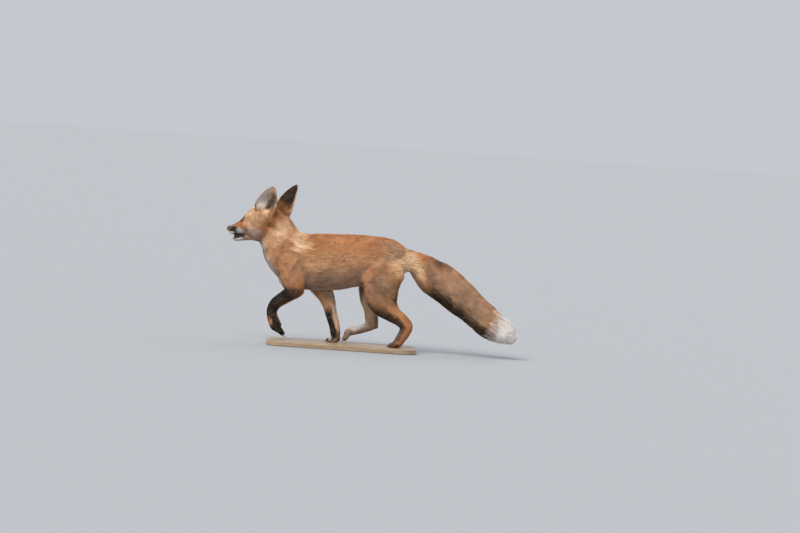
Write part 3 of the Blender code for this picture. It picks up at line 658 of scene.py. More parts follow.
def marked(points, normals, lie):
    """How much of each marking every place has: rust, grey, pale, black, white."""
    marks = {name: np.zeros(len(points)) for name in ("rust", "grey", "pale", "black", "white")}
    strays = ripples(points, 0.011, (3, 4, 5)) * 0.0045 + ripples(points, 0.034, (6, 7, 8)) * 0.006
    placed = points + strays
    millimetres = placed * 1000.0
    share = {name: lie["share"][:, k] for k, name in enumerate(CHAINS)}
    legs = sum(share[name] for name in CHAINS if "leg" in name)

    def put(name, *amounts):
        """Adds a marking over a place, by the product of the amounts."""
        marks[name] = marks[name] + math.prod(amounts) * (1.0 - marks[name])

    for name, strength, middle, radii, turn, soft in BODY_PATCHES:
        off = millimetres - middle
        c, s = math.cos(math.radians(turn)), math.sin(math.radians(turn))
        off = np.stack([off[:, 0] * c - off[:, 2] * s, off[:, 1], off[:, 0] * s + off[:, 2] * c], axis=1)
        put(name, strength, egg(off, radii, soft))
    face = in_head(points + strays * 0.35) * 1000.0
    face[:, 1] = np.abs(face[:, 1])
    skull = sum(share[name] for name in ("muzzle", "skull", "jaw", "cheek_left", "cheek_right"))
    on_head = eased(0.3, 0.7, skull + share["ear_left"] + share["ear_right"])
    for name, strength, middle, radii in FACE_PATCHES:
        put(name, strength, egg(face - middle, radii, FACE_SOFT), on_head)

    # Back, bib, belly and nape, with painted shade on the belly and among the nape's locks.
    out, along = lie["out"], lie["along"] + strays[:, 0]
    ridge = out[:, 2] + strays[:, 1] * 25.0
    put("rust", 0.35, eased(0.2, 0.9, ridge), 1.0 - legs)
    bib = eased(0.46, 0.76, normals @ np.array(BIB_FACES) + strays[:, 1] * 12.0)
    bib = bib * np.clip(share["throat"] + share["jaw"] + 0.7 * share["nape"], 0, 1) * (1.0 - skull * 0.5)
    for name, strength in (("grey", 0.84), ("pale", 0.16), ("white", 0.26)):
        put(name, strength, bib)
    under = share["sternum"] + share["trunk"]
    # Grey where the skin faces down: partly the belly's greyer fur and partly painted shade.
    put("grey", 0.65, eased(-0.15, 0.4, -normals[:, 2]), under)
    put("white", 0.18, eased(0.35, 0.85, -normals[:, 2] + strays[:, 1] * 25.0), under)
    # The nape's dark streaks are partly dark locks and partly painted shade between them.
    streaks = share["nape"] * eased(0.05, 0.60, ripple(placed, 0.010, 51))
    put("rust", 0.50, streaks)
    put("black", 0.46, streaks)

    # The brush: black below, white beyond its end.
    on_tail = eased(0.3, 0.7, share["tail"])
    put("black", 0.90, eased(0.14, 0.50, -ridge), eased(0.125, 0.165, along), on_tail)
    tip = eased(0.374, 0.392, along + ridge * 0.009) * on_tail
    marks["black"] *= 1.0 - tip
    put("grey", 0.90, tip)
    put("white", 0.85, tip)

    # The stockings, by the way down each leg and by its front.
    on_leg = {name: eased(0.3, 0.7, share[name]) for name in CHAINS if "leg" in name}
    ahead_of = np.stack([lie["heading"][:, 2], np.zeros(len(points)), -lie["heading"][:, 0]], axis=1)
    front = (out * ahead_of).sum(axis=1) + strays[:, 2] * 20.0
    here = on_leg["foreleg_left"]
    put("rust", 0.60, here, eased(0.06, 0.11, along))
    put("black", 0.30, here, eased(0.100, 0.125, along))
    put("black", 0.98, here, eased(0.120, 0.160, along), eased(-1.3, -0.6, front))
    spot, size = WRIST_SPOT
    marks["black"] *= 1.0 - 0.95 * egg(millimetres - spot, size, 0.4)
    here = on_leg["foreleg_right"]
    put("black", 0.97, here, eased(0.168, 0.195, along), eased(-0.45, -0.05, front))
    put("black", 0.90, here, eased(0.235, 0.270, along), eased(-0.9, -0.2, front))
    upper = here * eased(0.10, 0.14, along)
    put("rust", 0.60, upper, eased(-0.5, 0.2, front))
    put("pale", 0.30, upper)
    put("white", 0.22, here, eased(0.10, 0.15, along), eased(-0.1, 0.4, -front), eased(0.26, 0.23, along))
    here = on_leg["hindleg_left"]
    put("black", 0.86, here, eased(0.125, 0.175, along), eased(-0.2, 0.4, front), eased(0.27, 0.24, along))
    put("rust", 0.95, here, eased(0.17, 0.25, along), eased(-0.2, 0.3, -front))
    put("black", 0.58, here, eased(0.225, 0.250, along), eased(-0.05, 0.35, front))
    lower = here * eased(0.235, 0.260, along)
    put("grey", 0.50, lower, eased(-0.05, 0.35, front))
    put("black", 0.20, lower)
    put("black", 0.62, here, eased(0.300, 0.325, along))
    here = on_leg["hindleg_right"]
    inner = eased(0.2, -0.5, out[:, 1])
    upper = here * eased(0.05, 0.11, along) * inner
    put("grey", 0.80, upper)
    put("pale", 0.22, upper, eased(0.22, 0.18, along))
    put("white", 0.14, here, eased(0.20, 0.24, along), inner)
    put("black", 0.14, here, eased(0.18, 0.22, along), inner)
    put("rust", 0.70, here, eased(0.15, 0.22, along), eased(0.4, 0.9, -front))
    put("black", 0.60, here, eased(0.17, 0.22, along), eased(0.3, 0.8, front), 1.0 - inner)
    put("black", 0.20, here, eased(0.285, 0.310, along))

    # The ears: black backs over a rusty foot; inside, cream hair in front, and behind it grey and black in the
    # cup, painted shade of the hollow.
    for name in EAR_OPENING:
        opening, rearward = ear_space(points, name)
        up_ear = lie["along"]
        here = eased(0.35, 0.6, share[name]) * eased(0.010, 0.024, up_ear + rearward * 0.25)
        inside = normals @ opening
        back = eased(-0.15, -0.55, inside) * eased(-0.026, -0.014, rearward)
        inner_face = here * eased(0.10, 0.40, inside)
        for mark in ("rust", "grey", "pale", "white"):
            marks[mark] *= 1.0 - here
        put("rust", 0.80, here, back, eased(0.066, 0.046, up_ear))
        put("black", 0.95, here, back, eased(0.028, 0.056, up_ear))
        put("pale", 0.98, here, 1.0 - back)
        rim = np.maximum(eased(0.016, 0.024, rearward), eased(-0.018, -0.026, rearward))
        put("white", 0.68, inner_face, eased(-0.002, -0.012, rearward))
        # Painted shade: grey over the rear of the cup, and black deeper in it.
        put("grey", 0.90, inner_face, eased(-0.009, 0.001, rearward), 1.0 - rim)
        put("white", 0.45, inner_face, rim)
        cup_shade = eased(-0.006, 0.004, rearward) * eased(0.025, 0.014, rearward)
        put("black", 0.70, inner_face, cup_shade, eased(0.022, 0.036, up_ear), eased(0.104, 0.086, up_ear))
        spot, size = CUP_PAINTED_SHADE
        put("black", 0.80, inner_face, egg(np.stack([rearward, up_ear], axis=1) * 1000.0 - spot, size, 0.4))
    return marks


def noted(mesh, name, values):
    """Keeps three values for each point of a mesh under one name."""
    layer = mesh.attributes.new(name, "FLOAT_VECTOR", "POINT")
    layer.data.foreach_set("vector", np.ascontiguousarray(values, np.float32).ravel())


NOSE_MIDDLE, NOSE_SIZE = (0.0650, 0.0, -0.0290), (0.0100, 0.0098, 0.0105)
skin_lie = combed(points)
skin_normals = normals_of(points, faces)
marks = marked(points, skin_normals, skin_lie)
round_nose = eased(1.15, 0.95, np.linalg.norm((in_head(points) - NOSE_MIDDLE) / NOSE_SIZE, axis=1))
bare = np.clip(lining * 1.6 + rim_dark + round_nose, 0.0, 1.0)
marks["black"] = np.maximum(marks["black"], lip)
warm = np.stack([marks["rust"], marks["grey"], marks["pale"]], axis=1)
cold = np.stack([marks["black"], marks["white"], bare], axis=1)
# The locks rise and sink with clump, and the finish paints shade on the sunk ones and light on the raised ones.
clump = np.clip(ripple(points, 0.014, 21) * 1.1 + ripple(points, 0.006, 22) * 0.7, -1.0, 1.0)
short_fur = sum(skin_lie["share"][:, CHAINS.index(name)] for name in ("muzzle", "jaw", "ear_left", "ear_right"))
noted(skin.data, "warm_marks", warm)
noted(skin.data, "cold_marks", cold)
# The skin takes the hair's dark root colour, painted shade under the coat, and less of it where the fur is
# short, as on the muzzle, jaw and ears.
noted(skin.data, "strand", np.stack([0.15 + 0.35 * short_fur, np.full(len(points), 0.5), clump], axis=1))


def unwrapped(made):
    """Lays a mesh's own shape out flat as the map named OFBake."""
    made.data.uv_layers.new(name="OFBake")
    bpy.context.view_layer.objects.active = made
    bpy.ops.object.select_all(action="DESELECT")
    made.select_set(True)
    bpy.ops.object.mode_set(mode="EDIT")
    bpy.ops.mesh.select_all(action="SELECT")
    bpy.ops.uv.smart_project(angle_limit=math.radians(66.0), island_margin=0.001)
    bpy.ops.object.mode_set(mode="OBJECT")


unwrapped(skin)

# The coat's colours, where the hair is clean and dry.
COAT_COLOURS = {
    "Tan": (0.500, 0.242, 0.108, 1.0),
    "Rust": (0.490, 0.188, 0.064, 1.0),
    "Grey": (0.270, 0.185, 0.132, 1.0),
    "Pale": (0.860, 0.580, 0.345, 1.0),
    "Black": (0.010, 0.009, 0.007, 1.0),
    "White": (0.800, 0.745, 0.725, 1.0),
    "Bare": (0.024, 0.018, 0.016, 1.0),
}
NOTES = {"Warm marks": "warm_marks", "Cold marks": "cold_marks", "Strand": "strand"}
STREAK_STRETCH, STREAK_TURN = (38.0, 120.0, 150.0), (0.0, 0.55, 0.0)
# The root end is darker as painted shade of the tufts on one another; the tip end is brighter, partly paler
# hair tips and partly painted light.
ROOT_PAINTED_SHADE, TIP_SHADE = (0.88, 0.62), (0.93, 1.18)  # how strong and how bright the colour is at each end


def new_effect(name, inputs, outputs):
    """A shader node group with its named sockets, and the ends inside it."""
    tree = bpy.data.node_groups.new(name, "ShaderNodeTree")
    for way, sockets in (("INPUT", inputs), ("OUTPUT", outputs)):
        for socket, kind in sockets.items():
            tree.interface.new_socket(socket, in_out=way, socket_type="NodeSocket" + kind)
    return tree, tree.nodes.new("NodeGroupInput").outputs, tree.nodes.new("NodeGroupOutput").inputs


def toned(tree, colour, saturation, value):
    """A colour made stronger or weaker, and brighter or darker."""
    return add(tree, "HueSaturation", {"Saturation": saturation, "Value": value, "Color": colour}).outputs[0]


fur, given, wanted = new_effect(
    "fur_colour",
    {**dict.fromkeys((*NOTES, "Place"), "Vector"), **dict.fromkeys(COAT_COLOURS, "Color")},
    {"Colour": "Color", "Roughness": "Float", "Height": "Float"},
)
warm_parts, cold_parts, (along, chance, clumping) = (
    add(fur, "SeparateXYZ", {0: given[socket]}).outputs for socket in NOTES
)
bare_part = cold_parts[2]
mottle = noisy(fur, given["Place"], 62.0, Detail=3.0, Roughness=0.6)
streaks = noisy(fur, given["Place"], 1.0, STREAK_STRETCH, STREAK_TURN, Detail=2.0)
fine_hair = noisy(fur, given["Place"], 900.0, Detail=2.0)
own_shift = ramped(fur, chance, 0.0, 1.0, -0.10, 0.10)
shift = worked_out(fur, "ADD", ramped(fur, mottle, 0.3, 0.7, -0.13, 0.13), own_shift)
colour = given["Tan"]
for name, part in zip(("Rust", "Grey", "Pale", "Black", "White"), (*warm_parts, *cold_parts[:2])):
    calm = worked_out(fur, "MULTIPLY", shift, ramped(fur, part, 0.75, 0.98, 1.0, 0.15))
    swing = worked_out(fur, "MAXIMUM", worked_out(fur, "ADD", part, calm), 0.0)
    share = worked_out(fur, "MULTIPLY", swing, ramped(fur, part, 0.02, 0.25), use_clamp=True)
    colour = blended(fur, share, colour, given[name])
grizzle = ramped(fur, streaks, 0.52, 0.74, 0.0, 0.42)
colour = blended(fur, grizzle, colour, blended(fur, 0.5, colour, given["Grey"]))
# Painted shade towards each tuft's root, and a brighter tip, partly paler hair and partly painted light.
at_root, at_tip = toned(fur, colour, *ROOT_PAINTED_SHADE), toned(fur, colour, *TIP_SHADE)
colour = blended(fur, ramped(fur, along, 0.0, 0.50), at_root, colour)
colour = blended(fur, ramped(fur, along, 0.62, 1.0, 0.0, 0.8), colour, at_tip)
# Tufts on sunk locks are darkened as painted shade, those on raised locks brightened as painted light; each
# tuft's own tone also differs at random.
own_tone, lock_painted_shade_and_light = ramped(fur, chance, 0.0, 1.0, 0.84, 1.14), ramped(fur, clumping, -1.0, 1.0, 0.76, 1.18)
colour = toned(fur, colour, 1.0, worked_out(fur, "MULTIPLY", own_tone, lock_painted_shade_and_light))
fur.links.new(blended(fur, bare_part, colour, given["Bare"]), wanted["Colour"])
fur.links.new(ramped(fur, bare_part, 0.0, 1.0, 0.78, 0.34), wanted["Roughness"])
fur.links.new(worked_out(fur, "ADD", fine_hair, mottle), wanted["Height"])


def furred(name, relief=None):
    """A finish of the fox's hair colours, with painted shade at the roots and between the locks, and fine hair
    as relief where it is too short to stand.
    """
    made, tree = new_finish(name)
    sockets = {"Place": over_piece(tree), **COAT_COLOURS}
    for socket, note in NOTES.items():
        sockets[socket] = add(tree, "Attribute", attribute_name=note).outputs["Vector"]
    look = add(tree, "Group", sockets, node_tree=fur).outputs
    sockets = {"Base Color": look["Colour"], "Roughness": look["Roughness"], "Specular IOR Level": 0.18}
    if relief:
        sockets["Normal"] = bumped(tree, look["Height"], 0.5, relief)
    finished(tree, sockets)
    return made


def fitted(made, finish, slot, *stands_for):
    """Smooths a piece, gives it its finish, and fixes it to the body."""
    made.data.polygons.foreach_set("use_smooth", [True] * len(made.data.polygons))
    made.data.materials.append(finish)
    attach(made, "root")
    if stands_for:
        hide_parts(*stands_for)


skin.data.materials.clear()
fitted(skin, furred("short_fur_and_hide", 0.0012), "coat", *FLESH)

# ---- The eyes ----------------------------------------------------------------------------------
# Each real eye is a glass ball painted from behind: an amber iris with fine spokes, a narrow upright
# pupil and a dark edge. It is set in the socket with wax, and the lids lie on it.
IRIS_EDGE = 0.70  # as shares of the ball's radius
PUPIL = (0.19, 0.56)
CORNEA = 0.0004  # how far the clear front stands over the ball
BALL_RINGS, BALL_TURNS = 40, 48
IRIS_PALE, IRIS_DARK = (0.23, 0.092, 0.016, 1.0), (0.085, 0.028, 0.007, 1.0)
IRIS_GLOW, IRIS_RIM = (0.33, 0.16, 0.035, 1.0), (0.016, 0.009, 0.006, 1.0)
PUPIL_BLACK, EYE_WHITE = (0.003, 0.003, 0.004, 1.0), (0.030, 0.018, 0.014, 1.0)


def gridded(rings, around, place_at):
    """Points and faces of a closed ball of rings, with place_at giving a point for each ring and turn."""
    points = [place_at(0.0, 0.0)]
    for ring in range(1, rings):
        points += [place_at(ring / rings, turn / around) for turn in range(around)]
    points.append(place_at(1.0, 0.0))
    faces = []
    last = len(points) - 1
    for turn in range(around):
        after = (turn + 1) % around
        faces.append((0, 1 + turn, 1 + after))
        faces.append((last, last - around + after, last - around + turn))
        for ring in range(rings - 2):
            a = 1 + ring * around
            faces.append((a + turn, a + around + turn, a + around + after, a + after))
    return points, faces


def on_globe(share, turn):
    """A place on a ball, by its share of the way from its pole to the other and its turn: off, across, pole."""
    lean, around = math.pi * share, math.tau * turn
    return math.sin(lean) * math.cos(around), math.sin(lean) * math.sin(around), math.cos(lean)


glass, tree = new_finish("painted_glass_eye")
look = add(tree, "SeparateXYZ", {0: add(tree, "Attribute", attribute_name="gaze").outputs["Vector"]}).outputs
flat_look = add(tree, "CombineXYZ", {0: look[0], 1: look[1]}).outputs[0]
from_middle = add(tree, "VectorMath", {0: flat_look}, operation="LENGTH").outputs["Value"]
pupil_sockets = {0: flat_look, 1: (1.0 / PUPIL[0], 1.0 / PUPIL[1], 0.0)}
pupil_look = add(tree, "VectorMath", pupil_sockets, operation="MULTIPLY").outputs[0]
pupil_edge = add(tree, "VectorMath", {0: pupil_look}, operation="LENGTH").outputs["Value"]
turn = worked_out(tree, "ARCTAN2", look[1], look[0])
spoke_space = add(tree, "CombineXYZ", {0: turn, 1: worked_out(tree, "MULTIPLY", from_middle, 0.8)}).outputs[0]
spokes = noisy(tree, spoke_space, 14.0, Detail=3.0)
iris = blended(tree, ramped(tree, spokes, 0.35, 0.7), IRIS_PALE, IRIS_DARK)
iris = blended(tree, ramped(tree, from_middle, 0.15, 0.42, 0.55, 0.0), iris, IRIS_GLOW)
iris = blended(tree, ramped(tree, from_middle, IRIS_EDGE - 0.16, IRIS_EDGE), iris, IRIS_RIM)
eye_colour = blended(tree, ramped(tree, pupil_edge, 0.90, 1.08), PUPIL_BLACK, iris)
eye_colour = blended(tree, ramped(tree, from_middle, IRIS_EDGE, IRIS_EDGE + 0.05), eye_colour, EYE_WHITE)
finished(tree, {
    "Base Color": eye_colour,
    "Roughness": ramped(tree, from_middle, 0.6, 0.9, 0.09, 0.28),
    "Coat Weight": 0.3,
    "Coat Roughness": 0.03,
})
for side, centre in eye_place.items():
    basis = eye_space(centre + np.identity(3), side).T

    def on_ball(share, turn):
        """A point of the ball, by its share of the way from front to back and its turn about the gaze."""
        spot = np.array(on_globe(share, turn))
        from_gaze = math.sin(math.pi * share)
        bulge = CORNEA * float(eased(IRIS_EDGE + 0.12, 0.25, from_gaze)) if spot[2] > 0 else 0.0
        return centre + (spot * (EYE_BALL + bulge)) @ basis

    ball = solid_from("eyeball_" + side, *gridded(BALL_RINGS, BALL_TURNS, on_ball))
    noted(ball.data, "gaze", eye_space(triangles_of(ball.data)[0], side) / EYE_BALL)
    fitted(ball, glass, "eye", "eye_" + side)

# ---- The nose leather --------------------------------------------------------------------------
# The real nose is bare black hide over a carved form: two wings that curl round deep nostrils, a groove
# down the middle, and a skin of small pebbles. It is waxed, so it shines a little.
# Each lump: its middle and radii in millimetres along the head's directions, and its turn.
NOSE_GRID = 0.00055
NOSE_LUMPS = [
    ((66.0, 0, -28.0), (9.0, 8.0, 7.6), 0), ((70.5, 0, -27.5), (5.2, 6.6, 6.2), 0),
    ((60.0, 0, -30.0), (8.0, 6.5, 8.0), 0), ((67.5, 4.6, -30.0), (7.0, 4.6, 5.6), 22),
    ((67.5, -4.6, -30.0), (7.0, 4.6, 5.6), -22), ((68.0, 0, -35.0), (4.5, 3.0, 5.0), 0),
]
NOSTRIL_STEPS = 9


def joined(builds):
    """Several sets of points and faces as one."""
    points, faces = [], []
    for new_points, new_faces in builds:
        faces += [tuple(corner + len(points) for corner in face) for face in new_faces]
        points += new_points
    return points, faces


def lump(middle, radii, turn):
    """Points and faces of one egg shape on the head."""
    c, s = math.cos(math.radians(turn)), math.sin(math.radians(turn))

    def on_lump(share, around):
        """A point of the egg, by its share of the way from front to back and its turn."""
        y, z, x = on_globe(share, around)
        x, y, z = x * radii[0], y * radii[1], z * radii[2]
        return from_head(middle[0] + x * c - y * s, middle[1] + x * s + y * c, middle[2] + z)

    return gridded(16, 20, on_lump)


nose = solid_from("nose_leather", *joined(lump(*shape) for shape in NOSE_LUMPS))
bm = bmesh.new()
bm.from_mesh(nose.data)
bmesh.ops.recalc_face_normals(bm, faces=bm.faces)
bm.to_mesh(nose.data)
bm.free()
modified(nose, "REMESH", mode="VOXEL", voxel_size=NOSE_GRID)
nose_points, nose_faces = triangles_of(nose.data)
nose_edges = edges_of(nose.data)
nose_points = relaxed(nose_points, nose_edges, 0.5, 10)
spot = in_head(nose_points) * 1000.0
hollow = np.zeros(len(spot))
for side, step in itertools.product(SIDES.values(), range(NOSTRIL_STEPS)):
    t = step / (NOSTRIL_STEPS - 1)  # each nostril is a comma: round in front, then a slit back along the wing
    middle = (74.0 - 9.0 * t, side * (3.5 + 4.6 * t**0.7), -29.0 - 0.6 * t)
    width = 1.9 * (1.0 - t) + 0.75
    reach = np.linalg.norm(spot - middle, axis=1)
    hollow = np.maximum(hollow, np.exp(-((reach / width) ** 2)) * (2.7 * (1 - t) + 1.1))
groove = np.exp(-((spot[:, 1] / 0.55) ** 2)) * eased(-28.0, -31.0, spot[:, 2])
groove = groove * eased(68.0, 71.0, spot[:, 0]) * 1.1
pebbles = ripple(nose_points, 0.0011, 31) * 0.09
sunk = (hollow + groove - pebbles) * MILLIMETRE
nose_points = nose_points - normals_of(nose_points, nose_faces) * sunk[:, None]
moved(nose.data, relaxed(nose_points, nose_edges, 0.25, 1))

leather, given, wanted = new_effect(
    "pebbled_hide",
    {"Place": "Vector", "Pebble scale": "Float", "Dark": "Color", "Worn": "Color"},
    {"Colour": "Color", "Height": "Float", "Roughness": "Float"},
)
cells = {"Vector": given["Place"], "Scale": given["Pebble scale"]}
cells = add(leather, "TexVoronoi", cells, feature="DISTANCE_TO_EDGE").outputs[0]
cloud = noisy(leather, given["Place"], 260.0, Detail=3.0)
crown = ramped(leather, cells, 0.0, 0.30)
worn = worked_out(leather, "MULTIPLY", crown, ramped(leather, cloud, 0.35, 0.7))
leather.links.new(blended(leather, worn, given["Dark"], given["Worn"]), wanted["Colour"])
leather.links.new(crown, wanted["Height"])
leather.links.new(ramped(leather, cloud, 0.3, 0.7, 0.30, 0.48), wanted["Roughness"])


def hide(name, pebble_scale, dark, worn, depth):
    """Bare pebbled skin."""
    made, tree = new_finish(name)
    sockets = {"Place": over_piece(tree), "Pebble scale": pebble_scale, "Dark": dark, "Worn": worn}
    look = add(tree, "Group", sockets, node_tree=leather).outputs
    relief = bumped(tree, look["Height"], 0.6, depth)
    finished(tree, {"Base Color": look["Colour"], "Roughness": look["Roughness"], "Normal": relief})
    return made


NOSE_BLACK, NOSE_WORN = (0.008, 0.007, 0.007, 1.0), (0.040, 0.034, 0.034, 1.0)
fitted(nose, hide("waxed_nose_leather", 1100.0, NOSE_BLACK, NOSE_WORN, 0.00025), "bare_skin", "nose")

# ---- The mouth ---------------------------------------------------------------------------------
# The real mouth is modelled in dark tinted wax behind the lips: the gums and cheeks close it at the sides
# and the tongue lies low between them. It is varnished, so it looks wet.
# Each ring: ahead of the eyes, half width, underside and top, in millimetres.
MOUTH_RINGS = [
    (-12, 11.0, -49.0, -43.0), (0, 10.5, -50.5, -42.0), (14, 8.5, -55.0, -41.5), (28, 7.0, -58.5, -41.5),
    (40, 5.4, -60.6, -41.5), (47, 3.6, -61.4, -42.0), (50, 2.0, -61.4, -42.5),
]
TONGUE_RINGS = [
    (-6, 8.0, -53.0, -47.5), (14, 8.4, -57.0, -49.5), (32, 7.6, -60.0, -53.5), (44, 6.2, -61.5, -56.5),
    (51, 4.8, -62.0, -58.6), (54.5, 3.0, -62.0, -59.6),
]
MOUTH_SIDES = 24
SQUARENESS = 0.7  # below 1, a ring has fuller corners than an oval
VEINS = {"scale": 420.0, "Detail": 3.0}
GUM_DEEP, GUM_LIGHT = (0.0030, 0.0020, 0.0020, 1.0), (0.0080, 0.0045, 0.0042, 1.0)
TONGUE_DEEP, TONGUE_LIGHT = (0.070, 0.028, 0.026, 1.0), (0.12, 0.050, 0.045, 1.0)


def turned(sides):
    """The cosine and sine of each turn round a ring."""
    return [(math.cos(math.tau * k / sides), math.sin(math.tau * k / sides)) for k in range(sides)]


def tubed(rings):
    """Points and faces of a closed tube through rings of points."""
    sides, last = len(rings[0]), (len(rings) - 1) * len(rings[0])
    faces = [tuple(range(sides))[::-1], tuple(range(last, last + sides))]
    for start, k in itertools.product(range(0, last, sides), range(sides)):
        after = (k + 1) % sides
        faces.append((start + k, start + after, start + sides + after, start + sides + k))
    return [point for ring in rings for point in ring], faces


def fuller(value):
    """A cosine or sine pushed out towards 1 or -1."""
    return math.copysign(abs(value) ** SQUARENESS, value)


def trough(rings):
    """A closed body through rings along the head. Its faces look inward."""
    rows = []
    for ahead, half, under, top in rings:
        middle, tall = (under + top) / 2, (top - under) / 2
        rows.append([from_head(ahead, half * fuller(c), middle + tall * fuller(s))
                     for c, s in turned(MOUTH_SIDES)])
    points, faces = tubed(rows)
    return points, [face[:1] + face[:0:-1] for face in faces]


def two_toned(name, deep, light, roughness, noise, relief=None, turns_at=0.35):
    """A finish whose two tones drift over the piece, with a slight relief of its own."""
    made, tree = new_finish(name)
    drift = noisy(tree, over_piece(tree), **noise)
    tint = blended(tree, ramped(tree, drift, turns_at, 0.7), deep, light)
    sockets = {"Base Color": tint, "Roughness": ramped(tree, drift, 0.3, 0.7, *roughness)}
    if relief:
        sockets["Normal"] = bumped(tree, drift, *relief)
    finished(tree, sockets)
    return made


for name, rings, finish, deep, light in (
    ("mouth_lining", MOUTH_RINGS, "dark_gum", GUM_DEEP, GUM_LIGHT),
    ("tongue", TONGUE_RINGS, "dark_tongue", TONGUE_DEEP, TONGUE_LIGHT),
):
    varnished = two_toned(finish, deep, light, (0.22, 0.4), VEINS, (0.4, 0.0003))
    fitted(solid_from(name, *trough(rings)), varnished, "bare_skin")

# ---- The teeth ---------------------------------------------------------------------------------
# The real teeth are cast in ivory resin from a fox's own: long curved canines, with small pointed
# cheek teeth behind them and short cutting teeth between them in front.
# Each tooth of one side, in millimetres: ahead, out, root, how far it stands, half length and half width.
TOOTH_SIDES, TOOTH_STEPS = 10, 7
TOOTH_LEAN = 0.22
UPPER_ROOT, LOWER_ROOT = -40.5, -61.5
CANINES = [(50.0, 8.2, UPPER_ROOT, -8.4, 1.6, 1.2), (51.5, 5.8, LOWER_ROOT, 6.6, 1.4, 1.0)]
CHEEK_TEETH = [(41.0, 9.6), (33.0, 11.0), (24.0, 12.4), (14.0, 13.6)]
LOWER_CHEEK_TEETH = [(42.0, 7.6, -61.0), (34.0, 8.8, -60.0), (25.0, 10.2, -58.0), (15.0, 11.6, -55.5)]
# Both ivory tones are painted darker than the teeth are, as painted shade inside the mouth; the stain drifts
# over them at random.
IVORY_PALE_SHADED, IVORY_STAINED_AND_SHADED = (0.40, 0.33, 0.23, 1.0), (0.27, 0.20, 0.12, 1.0)


def tooth(ahead, out, root, tall, long, thick):
    """One tooth from its root. tall is how far it stands, down if negative, and it leans back to its point."""
    rows = []
    for step in range(TOOTH_STEPS):
        t = step / (TOOTH_STEPS - 1)
        swell = (1.0 - t**1.7) * 0.96 + 0.04
        place = ahead - TOOTH_LEAN * abs(tall) * t * t
        rows.append([from_head(place + long * swell * c, out + thick * swell * s, root + tall * t)
                     for c, s in turned(TOOTH_SIDES)])
    return tubed(rows)


one_side = list(CANINES)
for step in range(4):
    one_side.append((*CHEEK_TEETH[step], UPPER_ROOT, -3.0 - 0.3 * step, 2.8, 1.0))
    one_side.append((*LOWER_CHEEK_TEETH[step], 2.0 + 0.2 * step, 2.8, 0.9))
for step in range(3):
    one_side.append((56.5 - 0.9 * step, 1.2 + 2.1 * step, -41.0, -3.2, 0.8, 0.9))
    one_side.append((55.5 - 0.8 * step, 0.9 + 1.5 * step, -61.0, 2.4, 0.7, 0.7))
teeth = [tooth(ahead, side * out, *shape) for side in SIDES.values() for ahead, out, *shape in one_side]
stain = {"scale": 300.0, "Detail": 3.0}
ivory = two_toned("mouth_shaded_ivory_resin", IVORY_PALE_SHADED, IVORY_STAINED_AND_SHADED, (0.2, 0.34), stain, (0.15, 0.0002), turns_at=0.3)
fitted(solid_from("teeth", *joined(teeth)), ivory, "bare_skin")

# ---- Pads and claws ----------------------------------------------------------------------------
# The real soles are cast in black rubbery hide, four toe pads and one heart-shaped pad behind them.
# The claws are horn, curved and blunt, and set in the toe ends. They show on the lifted feet.
# Each paw: its knuckle in millimetres, its heading, how far it droops, its size and the depth of its sole.
PAWS = [
    ((-285.6, -32.3, 57.4), 0.0, -120.0, 1.04, -8.9),
    ((-99.7, 26.7, 24.9), 4.0, 0.0, 1.0, -8.1),
    ((95.8, -29.3, 24.9), -3.0, 0.0, 0.98, -8.1),
    ((-59.2, 21.7, 49.3), 3.0, -44.0, 0.98, -8.9),
]
TOES = ((-17, -13.5), (-23, -4.5), (-23, 4.5), (-17, 13.5))  # how far ahead of the knuckle, and sideways
TOE_PAD, SOLE_PAD, PAD_SINK = (6.2, 4.3, 2.6), (7.6, 9.5, 2.8), 1.6
CLAW_SIDES, CLAW_STEPS = 10, 9
CLAW_REACH, CLAW_DROP, CLAW_THICK, CLAW_BEND = 6.0, 3.6, 1.35, 1.15
SOLE_BLACK, SOLE_WORN = (0.014, 0.011, 0.010, 1.0), (0.055, 0.046, 0.042, 1.0)
HORN_DARK, HORN_PALE = (0.030, 0.023, 0.018, 1.0), (0.11, 0.085, 0.062, 1.0)


def paw_place(knuckle, heading, droop, size):
    """The frame of a paw: -X towards its toes, +Z out of its back."""
    turn = Matrix.Rotation(math.radians(heading), 4, "Z") @ Matrix.Rotation(math.radians(droop), 4, "Y")
    lean = Matrix.Rotation(-LEAN, 4, "Y")
    return Matrix.Translation(Vector(knuckle) * MILLIMETRE) @ lean @ turn @ Matrix.Scale(size * MILLIMETRE, 4)


def pad(place, middle, radii, dent=0.0):
    """One cushion of a sole, with a dent behind where the real one is heart-shaped."""
    def on_pad(share, around):
        """A point of the cushion, by its share of the way up and its turn."""
        x, y, z = on_globe(share, around)
        x -= dent * math.exp(-((y / 0.35) ** 2)) * max(x, 0.0)
        z *= -0.75 if z > 0 else -1.0
        return place @ Vector((middle[0] + radii[0] * x, middle[1] + radii[1] * y, middle[2] + radii[2] * z))

    return gridded(14, 24, on_pad)


def claw(place, ahead, across, up):
    """One hooked claw from its root: a tapering horn that bends down towards its tip."""
    rows = []
    for step in range(CLAW_STEPS):
        t = step / (CLAW_STEPS - 1)
        bend = CLAW_BEND * t
        x = ahead - CLAW_REACH * math.sin(bend) / math.sin(CLAW_BEND)
        z = up - CLAW_DROP * (1 - math.cos(bend)) / (1 - math.cos(CLAW_BEND))
        wide = CLAW_THICK * (1.0 - t) ** 0.7 + 0.08
        rows.append([place @ Vector((x - wide * s * math.sin(bend) * 0.7, across + wide * 0.62 * c,
                                     z + wide * s * math.cos(bend))) for c, s in turned(CLAW_SIDES)])
    return tubed(rows)


